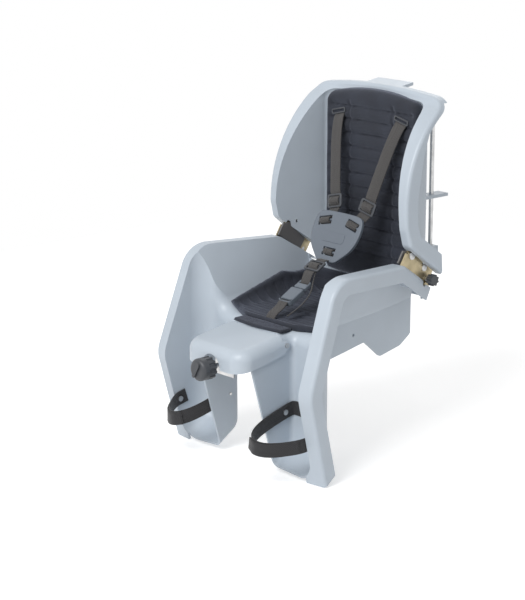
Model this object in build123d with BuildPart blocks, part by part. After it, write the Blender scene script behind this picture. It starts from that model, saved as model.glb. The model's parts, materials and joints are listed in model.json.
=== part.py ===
"""Rack-mounted child seat for a bicycle, millimetres, +Z up, the child faces -Y, +X is the child's left.

The origin is the middle of the steel foot plate's underside, where the seat stands on the carrier.
"""

import math
import os

from build123d import *

os.makedirs("parts", exist_ok=True)

# Moulded shells
wall = 3.5
rim_width = 25.0
rim_depth = 26.0
rim_lap = 14.0
crease_radius = 6.0
far = 400.0
space_top = 200.0

# Side rims of the seat, seen from above they flare towards the front
rim_half_rear = 150.0
rim_half_front = 186.0
rim_rear_y = 113.0
rim_front_y = -190.0

# Outline of the side rim, seen from the side (y, z)
arm_kink = (45.0, 151.0)
arm_end = (113.0, 108.0)
arm_end_low = (98.0, 81.0)
knee_corner = (-125.0, 158.0)
shin_bend = (-187.0, -15.0)
toe_tip = (-148.0, -166.0)
arm_kink_radius = 14.0
knee_corner_radius = 48.0
shin_bend_radius = 46.0

# Pan, leg wells and skirt
pan_top = 52.0
pan_front_half = 114.0
pan_rear_half = 108.0
pan_front_corner = 20.0
pan_rear_corner = 42.0
pan_rear_y = 95.0
calf_y = -100.0
heel_rise = 30.0
heel_run = 45.0
heel_radius = 22.0
well_outer_radius = 34.0
well_inner_radius = 10.0
spoke_guard_x = 66.0
knee_radius = 20.0
skirt_half = 118.0
skirt_lap = 40.0
skirt_front_z = 10.0
skirt_notch_front = (-52.0, 19.0)
skirt_notch_top = (-6.0, 28.0)
skirt_low = (29.0, -2.0)
skirt_rear_low = (75.0, 8.0)
skirt_rear_z = 24.0
skirt_corner = 8.0
guard_top_y = -210.0
rear_wall_dip = 97.0
step_y = -132.0
shelf_top = 25.0
shelf_front_y = -196.0
skirt_hole = (-30.0, 44.0)
skirt_hole_radius = 2.5
fit_gap = 0.5

# Foot plate and the ribs that stand on it
plate_thickness = 2.5
rail_x = 40.0
rail_width = 3.0
rail_length = 180.0
rib_width = 3.0
cross_rib_y = 55.0
cross_rib_depth = 32.0
plate_half = 48.0
plate_front_y = -80.0
plate_rear_y = 95.0
plate_screw_y = 70.0
boss_radius = 6.0
screw_radius = 2.5
screw_head_radius = 5.0
screw_depth = 16.0

# Back shell, its front outline (x, z) and its side outline (y, z)
wing_low_half = 177.0
wing_low_z = 90.0
wing_top_half = 147.0
wing_top_z = 402.0
back_crown_z = 413.0
wing_corner = 32.0
wing_kink = (42.0, 209.0)
wing_straight_z = 225.0
wing_arc_end = (134.0, 396.0)
wing_top_radius = 20.0
flange_rear_y = 72.0
flange_arc_end = (124.0, 396.0)
flange_least = 10.0
wing_low = (50.0, 180.0)
wing_low_slope = -0.773
wing_rear_y = 230.0
wing_end_y = 119.0
wing_end_z = 200.0
top_flange_end_y = 150.0
cavity_front_y = 42.0
cavity_front_low_half = 157.0
cavity_front_top_half = 127.0
cavity_front_top_z = 395.0
cavity_front_crown = 407.0
cavity_rear_y = 134.0
cavity_rear_low_half = 112.0
cavity_rear_top_half = 114.0
cavity_rear_top_z = 396.0
cavity_rear_crown = 408.0
cavity_low_z = 78.0
apron_front_y = 120.0
cavity_corner = 22.0
panel_radius = 12.0
tab_half = 40.0
tab_front = (144.0, 406.0)
tab_rear = (176.0, 411.0)
tab_thickness = 5.0

# Stay rod behind the back
rod_radius = 3.75
rod_x = 100.0
rod_y = 160.0
rod_low_z = 146.0
rod_top_z = 400.0
rod_corner = 20.0
rod_boss_z = 140.0
rod_boss_height = 18.0
fin_z = 240.0
fin_thickness = 5.0
fin_tip_y = 188.0
fin_half = 11.0

# Recline hinge, one on each side
pivot = (68.0, 162.5)
guide = (96.0, 138.5)
lock = (103.0, 119.5)
recline_angle = 8.0
leaf_thickness = 2.5
leaf_gap = 0.5
seat_leaf_x = 145.0
guard_thickness = 3.0
pivot_radius = 4.0
guide_radius = 3.5
lock_radius = 3.0
pin_head_radius = 6.5
guide_head_radius = 5.5
pin_head_height = 2.0
run_gap = 0.4
rivet_radius = 2.5
rivet_head_radius = 4.5
rivet_head_height = 1.8
rivet_depth = 9.0
lock_knob_radius = 9.5
lock_knob_x = 154.5
lock_knob_height = 11.5
lock_collar_radius = 4.5
guard_cover = 1.0

# Nose cover and the clamp below it
cover_half = 69.5
cover_wall = 3.0
cover_top_z = 51.0
cover_front_top_z = 36.0
cover_edge_radius = 18.0
cover_front_y = -224.0
cover_plan_radius = 28.0
cover_rear_low = (-112.0, 26.0)
cover_front_low_z = 2.0
cover_ear = (-127.0, 35.0)
cover_ear_radius = 7.0
cover_arch_radius = 21.0
clamp_z = 4.0
clamp_knob_radius = 18.0
clamp_knob_front_y = -253.0
clamp_knob_rear_y = -226.0
stud_radius = 4.0
stud_rear_y = -84.0
bracket_half = 22.0
bracket_thickness = 2.5
bracket_screw_x = 14.0
bracket_screw_y = -165.0
lug_rear_y = -118.0
lug_low_z = -15.0
jaw_front_y = -100.0
jaw_rear_y = -95.0
jaw_half = 16.0
jaw_low_z = -25.0
jaw_top_z = 16.0

# Pads
pad_gap = 0.4
back_pad_half = 108.0
back_pad_low_z = 87.0
back_pad_top_z = 391.0
back_pad_crown_z = 405.0
back_pad_thickness = 16.0
back_pad_corner = 16.0
back_pad_edge = 4.0
back_pad_roll = 11.5
back_channels_z = 252.0
back_channels = 12
back_channel_pitch = 22.0
back_channel_half = 88.0
seam_x = 50.0
channel_radius = 2.2
seat_pad_thickness = 9.0
seat_pad_front_y = -106.0
seat_pad_front_half = 46.0
seat_pad_side = (98.0, -84.0)
seat_channels = 8
seat_channels_y = -73.0
seat_channel_pitch = 20.0
seat_channel_half = 72.0
flap_front_y = -147.0
flap_half = 46.0
flap_thickness = 4.0

# Harness
strap_width = 25.0
strap_thickness = 2.5
strap_slot_gap = 1.0
strap_slot_width = strap_width + 2 * strap_slot_gap
strap_slot_depth = strap_thickness + 2 * strap_slot_gap
shoulder_x = 72.0
shoulder_z = 363.0
shoulder_lean = 0.24
shoulder_bend = (76.0, 217.0)
pad_exit_y = 112.0
anchor_radius = 3.0
anchor_length = 42.0
chest_centre = (42.0, 175.0)
chest_lean = 27.0
chest_thickness = 6.0
chest_top = (48.0, 33.0)
chest_side = (52.5, -4.0)
chest_low = (19.0, -44.0)
chest_crown_up = 38.0
chest_corner = 9.0
chest_slot_up = 25.0
chest_bar_pitch = 8.5
chest_slot_down = -29.0
chest_slot_height = 11.0
slider_length = 22.0
slider_width = 34.0
slider_depth = 7.0
adjuster_at = (-3.0, 131.0)
buckle_top = (-25.0, 104.0)
buckle_low = (-64.0, 83.0)
crotch_y = -101.0
crotch_bend_z = 65.0
male_at = 4.0
male_size = (9.0, 18.0)
male_half = 15.0
tongue_at = 16.0
tongue_size = (4.0, 16.0)
tongue_half = 10.0
female_at = 32.0
female_size = (13.0, 36.0)
female_half = 18.0

# Foot straps
foot_strap_at = (68.0, -106.0, -66.6)
foot_strap_rise = (-0.156, 0.29)
foot_strap_back = 24.0
foot_strap_bend = 8.0
foot_strap_thickness = 3.0
foot_strap_front_y = -221.0
foot_rivet_inner_y = -130.0
foot_rivet_outer_y = -158.0


def line_offset(point, direction, amount):
    """Point moved along a direction by an amount, in two dimensions."""
    length = math.hypot(*direction)
    return (point[0] + direction[0] / length * amount, point[1] + direction[1] / length * amount)


def between(start, end):
    """Vector from one two-dimensional point to another."""
    return (end[0] - start[0], end[1] - start[1])


rim_run = rim_rear_y - rim_front_y
rim_spread = rim_half_front - rim_half_rear
rim_slope = math.hypot(rim_run, rim_spread)
rim_along = Vector(-rim_spread / rim_slope, rim_run / rim_slope, 0)
rim_normal = Vector(rim_run / rim_slope, rim_spread / rim_slope, 0)
rim_half_middle = rim_half_rear + rim_rear_y * rim_spread / rim_run


def rim_plane(inset):
    """Plane of the left rim's outer face, moved inwards; its x runs rearwards and its y upwards."""
    origin = Vector(rim_half_middle, 0, 0) - rim_normal * inset
    return Plane(origin=origin, x_dir=rim_along, z_dir=rim_normal)


def rim_half(y):
    """Half the width over the side rims at a place along the seat."""
    return rim_half_middle - y * rim_spread / rim_run


def rim_outline(inset):
    """Region behind the side rim's front edge, with its edge moved inwards by an inset."""
    arm_line = between(arm_kink, arm_end)
    shin_line = between(shin_bend, toe_tip)
    behind = line_offset(arm_kink, arm_line, far)
    below = line_offset(shin_bend, shin_line, far)
    with BuildSketch() as outline:
        with BuildLine():
            Polyline(behind, arm_kink, knee_corner, shin_bend, below, (behind[0], below[1]), close=True)
        make_face()
        fillet(outline.vertices().sort_by_distance((*arm_kink, 0))[0], arm_kink_radius)
        fillet(outline.vertices().sort_by_distance((*knee_corner, 0))[0], knee_corner_radius)
        fillet(outline.vertices().sort_by_distance((*shin_bend, 0))[0], shin_bend_radius)
        if inset:
            offset(amount=-inset, kind=Kind.INTERSECTION)
    return outline.sketch


def rim_window():
    """Region that ends the rim at the arm's rear end and at the toe."""
    end_line = between(arm_end_low, arm_end)
    sole_line = (heel_run, heel_rise)
    with BuildSketch() as window:
        with BuildLine():
            Polyline(
                (-far, far),
                line_offset(arm_end_low, end_line, far),
                arm_end_low,
                (calf_y + rim_width, arm_end_low[1]),
                line_offset(toe_tip, sole_line, rim_width * 3),
                line_offset(toe_tip, sole_line, -far),
                close=True,
            )
        make_face()
    return window.sketch


rim_edge = (rim_plane(0) * rim_outline(0)).wire()

# Side rim: a flange turned outwards from the wall and back along the side
with BuildPart() as side_rim:
    with BuildSketch(rim_plane(0)):
        add(rim_outline(0))
        add(rim_outline(rim_depth), mode=Mode.SUBTRACT)
        add(rim_window(), mode=Mode.INTERSECT)
    extrude(amount=-wall)
    with BuildSketch(rim_plane(0)):
        add(rim_outline(0))
        add(rim_outline(wall), mode=Mode.SUBTRACT)
        add(rim_window(), mode=Mode.INTERSECT)
    extrude(amount=-rim_width - rim_lap)
    outer_face = side_rim.faces().sort_by(Axis((0, 0, 0), rim_normal))[-1]
    crease = outer_face.edges().filter_by(lambda edge: rim_edge.distance_to(edge @ 0.5) < 0.01)
    fillet(crease, crease_radius)


def strap_height(x, y):
    """Height of a foot strap's middle at a place in the foot well."""
    across = x - foot_strap_at[0]
    along = y - foot_strap_at[1]
    return foot_strap_at[2] + foot_strap_rise[0] * across + foot_strap_rise[1] * along


def sole_height(y, grow):
    """Height of the foot well's floor at a place along the seat, lowered by the wall for the outside."""
    slope = heel_rise / heel_run
    lift = (wall - grow) * math.hypot(1, slope)
    return toe_tip[1] + lift + (y - toe_tip[0]) * slope


def leg_space(grow):
    """Space of the left leg well, or its outside when it is grown by the wall."""
    rear = calf_y + grow
    with BuildPart() as space:
        with BuildSketch(rim_plane(rim_width - grow)):
            with BuildLine():
                Polyline(
                    (-far, sole_height(-far, grow)),
                    (rear, sole_height(rear, grow)),
                    (rear, space_top),
                    (-far, space_top),
                    close=True,
                )
            make_face()
        extrude(amount=-far / 2)
        with Locations((spoke_guard_x - grow, 0, 0)):
            Box(far, 3 * far, 3 * far, align=(Align.MAX, Align.CENTER, Align.CENTER), mode=Mode.SUBTRACT)
        heel_edge = space.edges().sort_by_distance((pan_front_half, rear, sole_height(rear, grow)))[0]
        fillet(heel_edge, heel_radius + grow)
        outer_face = space.faces().sort_by(Axis((0, 0, 0), rim_normal))[-1]
        fillet(outer_face.edges().sort_by_distance((rim_half_rear, rear, 0))[0], well_outer_radius + grow)
        inner_face = space.faces().sort_by(Axis.X)[0]
        fillet(inner_face.edges().sort_by_distance((spoke_guard_x, rear, 0))[0], well_inner_radius + grow)
    return space.part


def pan_half(y):
    """Half the width of the pan's floor at a place along the seat."""
    return pan_rear_half + (pan_front_half - pan_rear_half) * (y - pan_rear_y) / (calf_y - pan_rear_y)


def pan_section(y, corner, grow):
    """Half section across the space above the pan, whose side leans out to the rim's inner edge."""
    half = pan_half(y)
    lean = (rim_half(y) - rim_width - half) / (arm_kink[1] - pan_top)
    top_half = half + lean * (space_top - pan_top)
    floor = pan_top - grow
    with BuildSketch(Plane.XZ.offset(-y)) as section:
        with BuildLine():
            Polyline(
                (0, floor),
                (half + grow, floor),
                (top_half + grow, space_top),
                (0, space_top),
                close=True,
            )
        make_face()
        fillet(section.vertices().sort_by_distance((half + grow, floor, 0))[0], corner + grow)
    return section.sketch


def seat_space(grow):
    """Left half of the space above the pan, or its outside when it is grown by the wall."""
    with BuildPart() as space:
        add(pan_section(-far, pan_front_corner, grow))
        add(pan_section(pan_rear_y + grow, pan_rear_corner, grow))
        loft(ruled=True)
    return space.part


def calf_at(x, grow):
    """Place along the seat of the leg well's rear wall, at a distance from the middle."""
    start = rim_plane(rim_width - grow).from_local_coords(Vector(calf_y + grow, 0, 0))
    return start.Y + (x - start.X) * rim_normal.Y / rim_normal.X


def child_space(grow):
    """Left half of the child's space, rounded where the knee bends from the pan into the leg well."""
    with BuildPart() as space:
        add(leg_space(grow))
        add(seat_space(grow))
        knee_x = pan_front_half - pan_front_corner
        knee = (knee_x, calf_at(knee_x, grow), pan_top - grow)
        fillet(space.edges().sort_by_distance(knee)[0], knee_radius - grow)
    return space.part


def guard_region():
    """Region of the inner leg wall and the foot well's floor, inside the side rim."""
    with BuildPart() as region:
        with BuildSketch(Plane.YZ):
            with BuildLine():
                Polyline((guard_top_y, pan_top), toe_tip, (far, toe_tip[1]), (far, pan_top), close=True)
            make_face()
        extrude(amount=far / 2)
        with BuildSketch(rim_plane(rim_width)):
            Rectangle(4 * far, 4 * far)
        extrude(amount=-far, mode=Mode.INTERSECT)
    return region.part


def wall_region():
    """Region that the thin walls keep to: the rim's outline outside, the spoke guard's edge inside."""
    with BuildPart() as region:
        with BuildSketch(rim_plane(0)):
            add(rim_outline(0))
        extrude(amount=-far / 2)
        with BuildSketch(rim_plane(rim_width)):
            with Locations((0, pan_top)):
                Rectangle(4 * far, far, align=(Align.CENTER, Align.MAX))
        extrude(amount=-far, mode=Mode.SUBTRACT)
        add(guard_region())
    return region.part


arm_line = between(arm_kink, arm_end)
arm_length = math.hypot(*arm_line)
arm_along = (arm_line[0] / arm_length, arm_line[1] / arm_length)


def hinge_point(along, above):
    """Point (y, z) at a distance along the arm's top edge from its kink, and a height above that edge."""
    y = arm_kink[0] + along * arm_along[0] - above * arm_along[1]
    return (y, arm_kink[1] + along * arm_along[1] + above * arm_along[0])


def hinge_strip(along_start, along_end, low, high):
    """Strip that runs along the arm's top edge, seen from the side."""
    corners = ((along_start, low), (along_end, low), (along_end, high), (along_start, high))
    with BuildSketch() as strip:
        with BuildLine():
            Polyline(*[hinge_point(*corner) for corner in corners], close=True)
        make_face()
    return strip.sketch


def swing_slot(point, start, size, radius):
    """Arc slot about the hinge pin, seen from the side, for a pin at a point."""
    reach = between(pivot, point)
    bearing = math.degrees(math.atan2(reach[1], reach[0]))
    with BuildSketch() as slot:
        with BuildLine():
            arc = CenterArc(pivot, math.hypot(*reach), bearing + start, size)
        SlotArc(arc, 2 * radius)
    return slot.sketch


back_leaf_x = seat_leaf_x - leaf_gap - leaf_thickness
guard_x = back_leaf_x - leaf_gap - guard_thickness
hinge_slot_inner = guard_x - 1
hinge_slot_outer = seat_leaf_x + leaf_thickness + pin_head_height + 2

inner_rivet = (foot_rivet_inner_y, strap_height(spoke_guard_x, foot_rivet_inner_y))
outer_wall = rim_plane(rim_width).from_local_coords(Vector(foot_rivet_outer_y, 0, 0))
outer_rivet = (foot_rivet_outer_y, strap_height(outer_wall.X, outer_wall.Y))

child_inside = child_space(0)
child_outside = child_space(wall)
shell_region = wall_region()

with BuildPart() as seat_shell:
    add(child_outside)
    add(shell_region, mode=Mode.INTERSECT)
    add(side_rim.part)
    with BuildSketch(Plane.YZ.offset(skirt_half)) as skirt_side:
        with BuildLine():
            Polyline(
                (calf_y - wall, pan_top + skirt_lap),
                (calf_y - wall, skirt_front_z),
                skirt_notch_front,
                skirt_notch_top,
                skirt_low,
                skirt_rear_low,
                (pan_rear_y + wall, skirt_rear_z),
                (pan_rear_y + wall, pan_top + skirt_lap),
                close=True,
            )
        make_face()
        fillet(skirt_side.vertices().filter_by(lambda corner: corner.Y < pan_top), skirt_corner)
        with Locations(skirt_hole):
            Circle(skirt_hole_radius, mode=Mode.SUBTRACT)
    extrude(amount=-wall)
    with BuildSketch(Plane.XZ.offset(-pan_rear_y - wall)):
        with Locations((0, skirt_rear_z)):
            Rectangle(skirt_half, pan_top - skirt_rear_z, align=(Align.MIN, Align.MIN))
    extrude(amount=wall)
    with Locations((0, step_y, shelf_top)):
        Box(spoke_guard_x, far, far, align=(Align.MIN, Align.MAX, Align.MIN), mode=Mode.SUBTRACT)
        Box(spoke_guard_x - wall, wall, pan_top - shelf_top, align=(Align.MIN, Align.MIN, Align.MIN))
    with Locations((0, step_y + wall, shelf_top)):
        Box(
            spoke_guard_x - wall,
            step_y + wall - shelf_front_y,
            wall,
            align=(Align.MIN, Align.MAX, Align.MAX),
        )
    with Locations((0, shelf_front_y, 0)):
        Box(spoke_guard_x, far, far, align=(Align.MIN, Align.MAX, Align.CENTER), mode=Mode.SUBTRACT)
    with Locations((rail_x, 0, plate_thickness)):
        Box(rail_width, rail_length, pan_top - plate_thickness, align=(Align.CENTER, Align.CENTER, Align.MIN))
    with Locations((rail_x, -plate_screw_y, plate_thickness), (rail_x, plate_screw_y, plate_thickness)):
        Cylinder(boss_radius, pan_top - plate_thickness, align=(Align.CENTER, Align.CENTER, Align.MIN))
        Cylinder(
            screw_radius,
            screw_depth - plate_thickness,
            align=(Align.CENTER, Align.CENTER, Align.MIN),
            mode=Mode.SUBTRACT,
        )
    with Locations((0, -cross_rib_y, pan_top - cross_rib_depth), (0, cross_rib_y, pan_top - cross_rib_depth)):
        Box(skirt_half, rib_width, cross_rib_depth, align=(Align.MIN, Align.CENTER, Align.MIN))
    with BuildSketch(Plane.YZ.offset(seat_leaf_x)):
        add(hinge_strip(2, 48, -22, -5))
    extrude(amount=-3 * rim_lap)
    with BuildSketch(Plane.YZ.offset(hinge_slot_inner)):
        add(hinge_strip(0, arm_length + 2, -5, 30))
    extrude(amount=hinge_slot_outer - hinge_slot_inner, mode=Mode.SUBTRACT)
    with BuildSketch(Plane.YZ.offset(hinge_slot_inner)):
        add(swing_slot(lock, -recline_angle - 2, recline_angle + 4, lock_collar_radius + 1))
    extrude(amount=far / 4, mode=Mode.SUBTRACT)
    with BuildSketch(Plane.YZ.offset(seat_leaf_x)):
        with Locations(hinge_point(10, -13), hinge_point(38, -13)):
            Circle(rivet_radius)
    extrude(amount=-rivet_depth, mode=Mode.SUBTRACT)
    add(child_inside, mode=Mode.SUBTRACT)
    with BuildSketch(Plane.XZ.offset(-far)):
        with BuildLine():
            ThreePointArc((-skirt_half, arm_end[1]), (0, rear_wall_dip), (skirt_half, arm_end[1]))
            Polyline(
                (skirt_half, arm_end[1]),
                (skirt_half, far),
                (-skirt_half, far),
                (-skirt_half, arm_end[1]),
            )
        make_face()
    extrude(amount=far - pan_rear_y + wall, mode=Mode.SUBTRACT)
    with BuildSketch(Plane.YZ.offset(spoke_guard_x - 2 * wall)):
        with Locations(cover_ear):
            Circle(screw_radius)
        with Locations(inner_rivet):
            Circle(rivet_radius)
    extrude(amount=3 * wall, mode=Mode.SUBTRACT)
    with BuildSketch(rim_plane(rim_width)):
        with Locations(outer_rivet):
            Circle(rivet_radius)
    extrude(amount=wall, both=True, mode=Mode.SUBTRACT)
    mirror(about=Plane.YZ)
    with Locations((0, bracket_screw_y, shelf_top)):
        with GridLocations(2 * bracket_screw_x, 0, 2, 1):
            Cylinder(screw_radius, 4 * wall, mode=Mode.SUBTRACT)
    with Locations((0, crotch_y, pan_top)):
        Box(strap_slot_width, strap_slot_depth, 4 * wall, mode=Mode.SUBTRACT)
seat_shell.part.label = "seat_shell"
export_step(seat_shell.part, "parts/seat_shell.step")


def cavity_section(y, grow):
    """Section across the space inside the back, wider at the front than at the panel."""
    share = (y - cavity_front_y) / (cavity_rear_y - cavity_front_y)
    low_half = cavity_front_low_half + share * (cavity_rear_low_half - cavity_front_low_half) + grow
    top_half = cavity_front_top_half + share * (cavity_rear_top_half - cavity_front_top_half) + grow
    top_z = cavity_front_top_z + share * (cavity_rear_top_z - cavity_front_top_z) + grow
    crown = cavity_front_crown + share * (cavity_rear_crown - cavity_front_crown) + grow
    with BuildSketch(Plane.XZ.offset(-y)) as section:
        with BuildLine():
            Polyline(
                (-top_half, top_z),
                (-low_half, cavity_low_z),
                (low_half, cavity_low_z),
                (top_half, top_z),
            )
            ThreePointArc((top_half, top_z), (0, crown), (-top_half, top_z))
        make_face()
    return section.sketch


def back_space(grow):
    """Space inside the back, or its outside when it is grown by the wall."""
    with BuildPart() as space:
        add(cavity_section(cavity_front_y - rim_width, grow))
        add(cavity_section(cavity_rear_y + grow, grow))
        loft(ruled=True)
        corners = space.edges().filter_by(
            lambda edge: (edge @ 0.5).Z > wing_end_z and abs((edge % 0.5).Y) > 0.9
        )
        fillet(corners, cavity_corner + grow)
        panel = space.faces().sort_by(Axis.Y)[-1]
        fillet(panel.edges().sort_by(Axis.Z)[1:], panel_radius + grow)
    return space.part


def wing_outline(inset):
    """Region behind the back's front edge, seen from the side, with its edge moved inwards by an inset."""
    over_z = back_crown_z + rim_depth
    rear_low = (wing_rear_y, wing_low[1] + wing_low_slope * (wing_rear_y - wing_low[0]))
    with BuildSketch() as outline:
        with BuildLine():
            Polyline(
                wing_arc_end,
                (wing_arc_end[0], over_z),
                (wing_rear_y, over_z),
                rear_low,
                wing_low,
                wing_kink,
                (wing_kink[0], wing_straight_z),
            )
            TangentArc((wing_kink[0], wing_straight_z), wing_arc_end, tangent=(0, 1))
        make_face()
        fillet(outline.vertices().sort_by_distance((*wing_arc_end, 0))[0], wing_top_radius)
        fillet(outline.vertices().sort_by_distance((*wing_kink, 0))[0], wing_corner)
        fillet(outline.vertices().sort_by_distance((*wing_low, 0))[0], cavity_corner / 2)
        if inset:
            offset(amount=-inset, kind=Kind.INTERSECTION)
    return outline.sketch


def back_block(inset):
    """Block bounded by the back's front and side outlines, its crease rounded, moved inwards by an inset."""
    low_half = wing_low_half - inset
    top_half = wing_top_half - inset
    with BuildPart() as block:
        with BuildSketch(Plane.YZ):
            add(wing_outline(inset))
        extrude(amount=far / 2, both=True)
        with BuildSketch(Plane.XZ) as front:
            with BuildLine():
                Polyline(
                    (-top_half, wing_top_z - inset),
                    (-low_half, wing_low_z - far / 4),
                    (low_half, wing_low_z - far / 4),
                    (top_half, wing_top_z - inset),
                )
                ThreePointArc(
                    (top_half, wing_top_z - inset),
                    (0, back_crown_z - inset),
                    (-top_half, wing_top_z - inset),
                )
            make_face()
            fillet(front.vertices().sort_by(Axis.Y)[-2:], wing_corner - inset)
        extrude(amount=-far, mode=Mode.INTERSECT)
        curved = block.edges().filter_by(GeomType.LINE, reverse=True)
        upright = block.edges().filter_by(
            lambda edge: edge.geom_type == GeomType.LINE
            and abs((edge % 0.5).X) < 0.999
            and abs((edge % 0.5).Y) < 0.999
        )
        crease = (curved + upright).filter_by(lambda edge: (edge @ 0.5).Y < wing_rear_y - inset - 1)
        fillet(crease, crease_radius - inset)
    return block.part


shoulder_turn = math.degrees(math.atan(shoulder_lean))
back_inside = back_space(0)
back_outside = back_space(wall)
back_outer_block = back_block(0)
back_inner_block = back_block(wall)

with BuildPart() as back_flange:
    add(back_outer_block)
    add(back_inner_block, mode=Mode.SUBTRACT)
    with BuildSketch(Plane.YZ):
        add(wing_outline(rim_depth))
    extrude(amount=far / 2, both=True, mode=Mode.SUBTRACT)
    with BuildSketch(Plane.YZ):
        with BuildLine():
            Polyline(
                (wing_end_y, 0),
                (wing_end_y, wing_end_z),
                (top_flange_end_y, wing_end_z),
                (top_flange_end_y, far + far),
                (far, far + far),
                (far, 0),
                close=True,
            )
        make_face()
    extrude(amount=far / 2, both=True, mode=Mode.SUBTRACT)
    with BuildSketch(Plane.YZ):
        with BuildLine():
            TangentArc((flange_rear_y, wing_straight_z), flange_arc_end, tangent=(0, 1))
            Polyline(
                flange_arc_end,
                (far, flange_arc_end[1]),
                (far, wing_straight_z),
                (flange_rear_y, wing_straight_z),
            )
        make_face()
        add(wing_outline(flange_least), mode=Mode.INTERSECT)
    extrude(amount=far / 2, both=True, mode=Mode.SUBTRACT)

with BuildPart() as back_shell:
    with BuildSketch(Plane.YZ):
        add(wing_outline(0))
        with Locations((apron_front_y, cavity_low_z)):
            Rectangle(far / 4, far / 4, align=(Align.MIN, Align.MIN))
    extrude(amount=far / 2, both=True)
    add(back_outside, mode=Mode.INTERSECT)
    add(back_flange.part)
    for side in (-1, 1):
        with BuildSketch(Plane.YZ.offset(side * hinge_slot_inner)):
            with Locations(pivot):
                Circle(pin_head_radius + 3)
            add(hinge_strip(4, arm_length, 0, 31))
        extrude(amount=side * (hinge_slot_outer - hinge_slot_inner), mode=Mode.SUBTRACT)
        with BuildSketch(Plane.YZ.offset(side * hinge_slot_inner)):
            with Locations(lock):
                Circle(lock_knob_radius + 2)
        extrude(amount=side * far / 4, mode=Mode.SUBTRACT)
        with BuildSketch(Plane.YZ.offset(side * back_leaf_x)):
            add(hinge_strip(6, 64, 31, 44))
        extrude(amount=-side * rim_width)
        with BuildSketch(Plane.YZ.offset(side * back_leaf_x)):
            with Locations(hinge_point(18, 37), hinge_point(52, 37)):
                Circle(rivet_radius)
        extrude(amount=-side * rivet_depth, mode=Mode.SUBTRACT)
    with Locations((rod_x, cavity_rear_y, fin_z), (-rod_x, cavity_rear_y, fin_z)):
        Box(
            2 * fin_half,
            fin_tip_y - cavity_rear_y,
            fin_thickness,
            align=(Align.CENTER, Align.MIN, Align.CENTER),
        )
    rod_boss_reach = rod_y + 2 * rod_radius - cavity_rear_y
    with Locations((rod_x, cavity_rear_y, rod_boss_z), (-rod_x, cavity_rear_y, rod_boss_z)):
        Box(2 * fin_half, rod_boss_reach, rod_boss_height, align=(Align.CENTER, Align.MIN, Align.MIN))
    with Locations((rod_x, rod_y, rod_low_z), (-rod_x, rod_y, rod_low_z)):
        Cylinder(rod_radius, far / 2, align=(Align.CENTER, Align.CENTER, Align.MIN), mode=Mode.SUBTRACT)
    with BuildSketch(Plane.YZ):
        with BuildLine():
            Polyline(
                tab_front,
                tab_rear,
                (tab_rear[0], tab_rear[1] + tab_thickness),
                (tab_front[0], tab_front[1] + tab_thickness),
                close=True,
            )
        make_face()
    extrude(amount=tab_half, both=True)
    add(back_inside, mode=Mode.SUBTRACT)
    for side in (-1, 1):
        with Locations((side * shoulder_x, cavity_rear_y, shoulder_z)):
            Box(
                strap_slot_width,
                4 * wall,
                strap_slot_depth,
                rotation=(0, side * shoulder_turn, 0),
                mode=Mode.SUBTRACT,
            )
back_shell.part.label = "back_shell"
export_step(back_shell.part, "parts/back_shell.step")


# Recline hinges: the seat leaf outside, the back leaf beside it, the guard on the child's side
with BuildPart() as hinge_seat_leaf_left:
    with BuildSketch(Plane.YZ.offset(seat_leaf_x)):
        add(hinge_strip(0, 50, -20, 20))
        add(hinge_strip(40, 77, -12, 13))
        with Locations(pivot):
            Circle(2 * pivot_radius)
        with Locations(pivot):
            Circle(pivot_radius, mode=Mode.SUBTRACT)
        with Locations(guide):
            Circle(guide_radius, mode=Mode.SUBTRACT)
        with Locations(hinge_point(10, -13), hinge_point(38, -13)):
            Circle(rivet_radius, mode=Mode.SUBTRACT)
        lock_slot = swing_slot(lock, -recline_angle - 1, recline_angle + 2, lock_radius + run_gap)
        add(lock_slot, mode=Mode.SUBTRACT)
    extrude(amount=leaf_thickness)
hinge_seat_leaf_left.part.label = "hinge_seat_leaf_left"
export_step(hinge_seat_leaf_left.part, "parts/hinge_seat_leaf_left.step")

with BuildPart() as hinge_seat_leaf_right:
    mirror(hinge_seat_leaf_left.part, about=Plane.YZ)
hinge_seat_leaf_right.part.label = "hinge_seat_leaf_right"
export_step(hinge_seat_leaf_right.part, "parts/hinge_seat_leaf_right.step")

back_leaf_corners = ((5, 43), (65, 43), (75, 24), (75, -3), (60, -3), (52, 6), (14, 16), (5, 22))

with BuildPart() as hinge_back_leaf_left:
    with BuildSketch(Plane.YZ.offset(back_leaf_x)):
        with BuildLine():
            Polyline(*[hinge_point(*corner) for corner in back_leaf_corners], close=True)
        make_face()
        with Locations(pivot):
            Circle(2 * pivot_radius)
        with Locations(pivot):
            Circle(pivot_radius + run_gap, mode=Mode.SUBTRACT)
        with Locations(lock):
            Circle(lock_radius, mode=Mode.SUBTRACT)
        with Locations(hinge_point(18, 37), hinge_point(52, 37)):
            Circle(rivet_radius, mode=Mode.SUBTRACT)
        add(swing_slot(guide, -1, recline_angle + 2, guide_radius + run_gap), mode=Mode.SUBTRACT)
    extrude(amount=leaf_thickness)
hinge_back_leaf_left.part.label = "hinge_back_leaf_left"
export_step(hinge_back_leaf_left.part, "parts/hinge_back_leaf_left.step")

with BuildPart() as hinge_back_leaf_right:
    mirror(hinge_back_leaf_left.part, about=Plane.YZ)
hinge_back_leaf_right.part.label = "hinge_back_leaf_right"
export_step(hinge_back_leaf_right.part, "parts/hinge_back_leaf_right.step")

guard_corners = ((-2, 1), (56, 1), (57, 18), (43, 23), (20, 26), (6, 26), (-2, 22))

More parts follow.
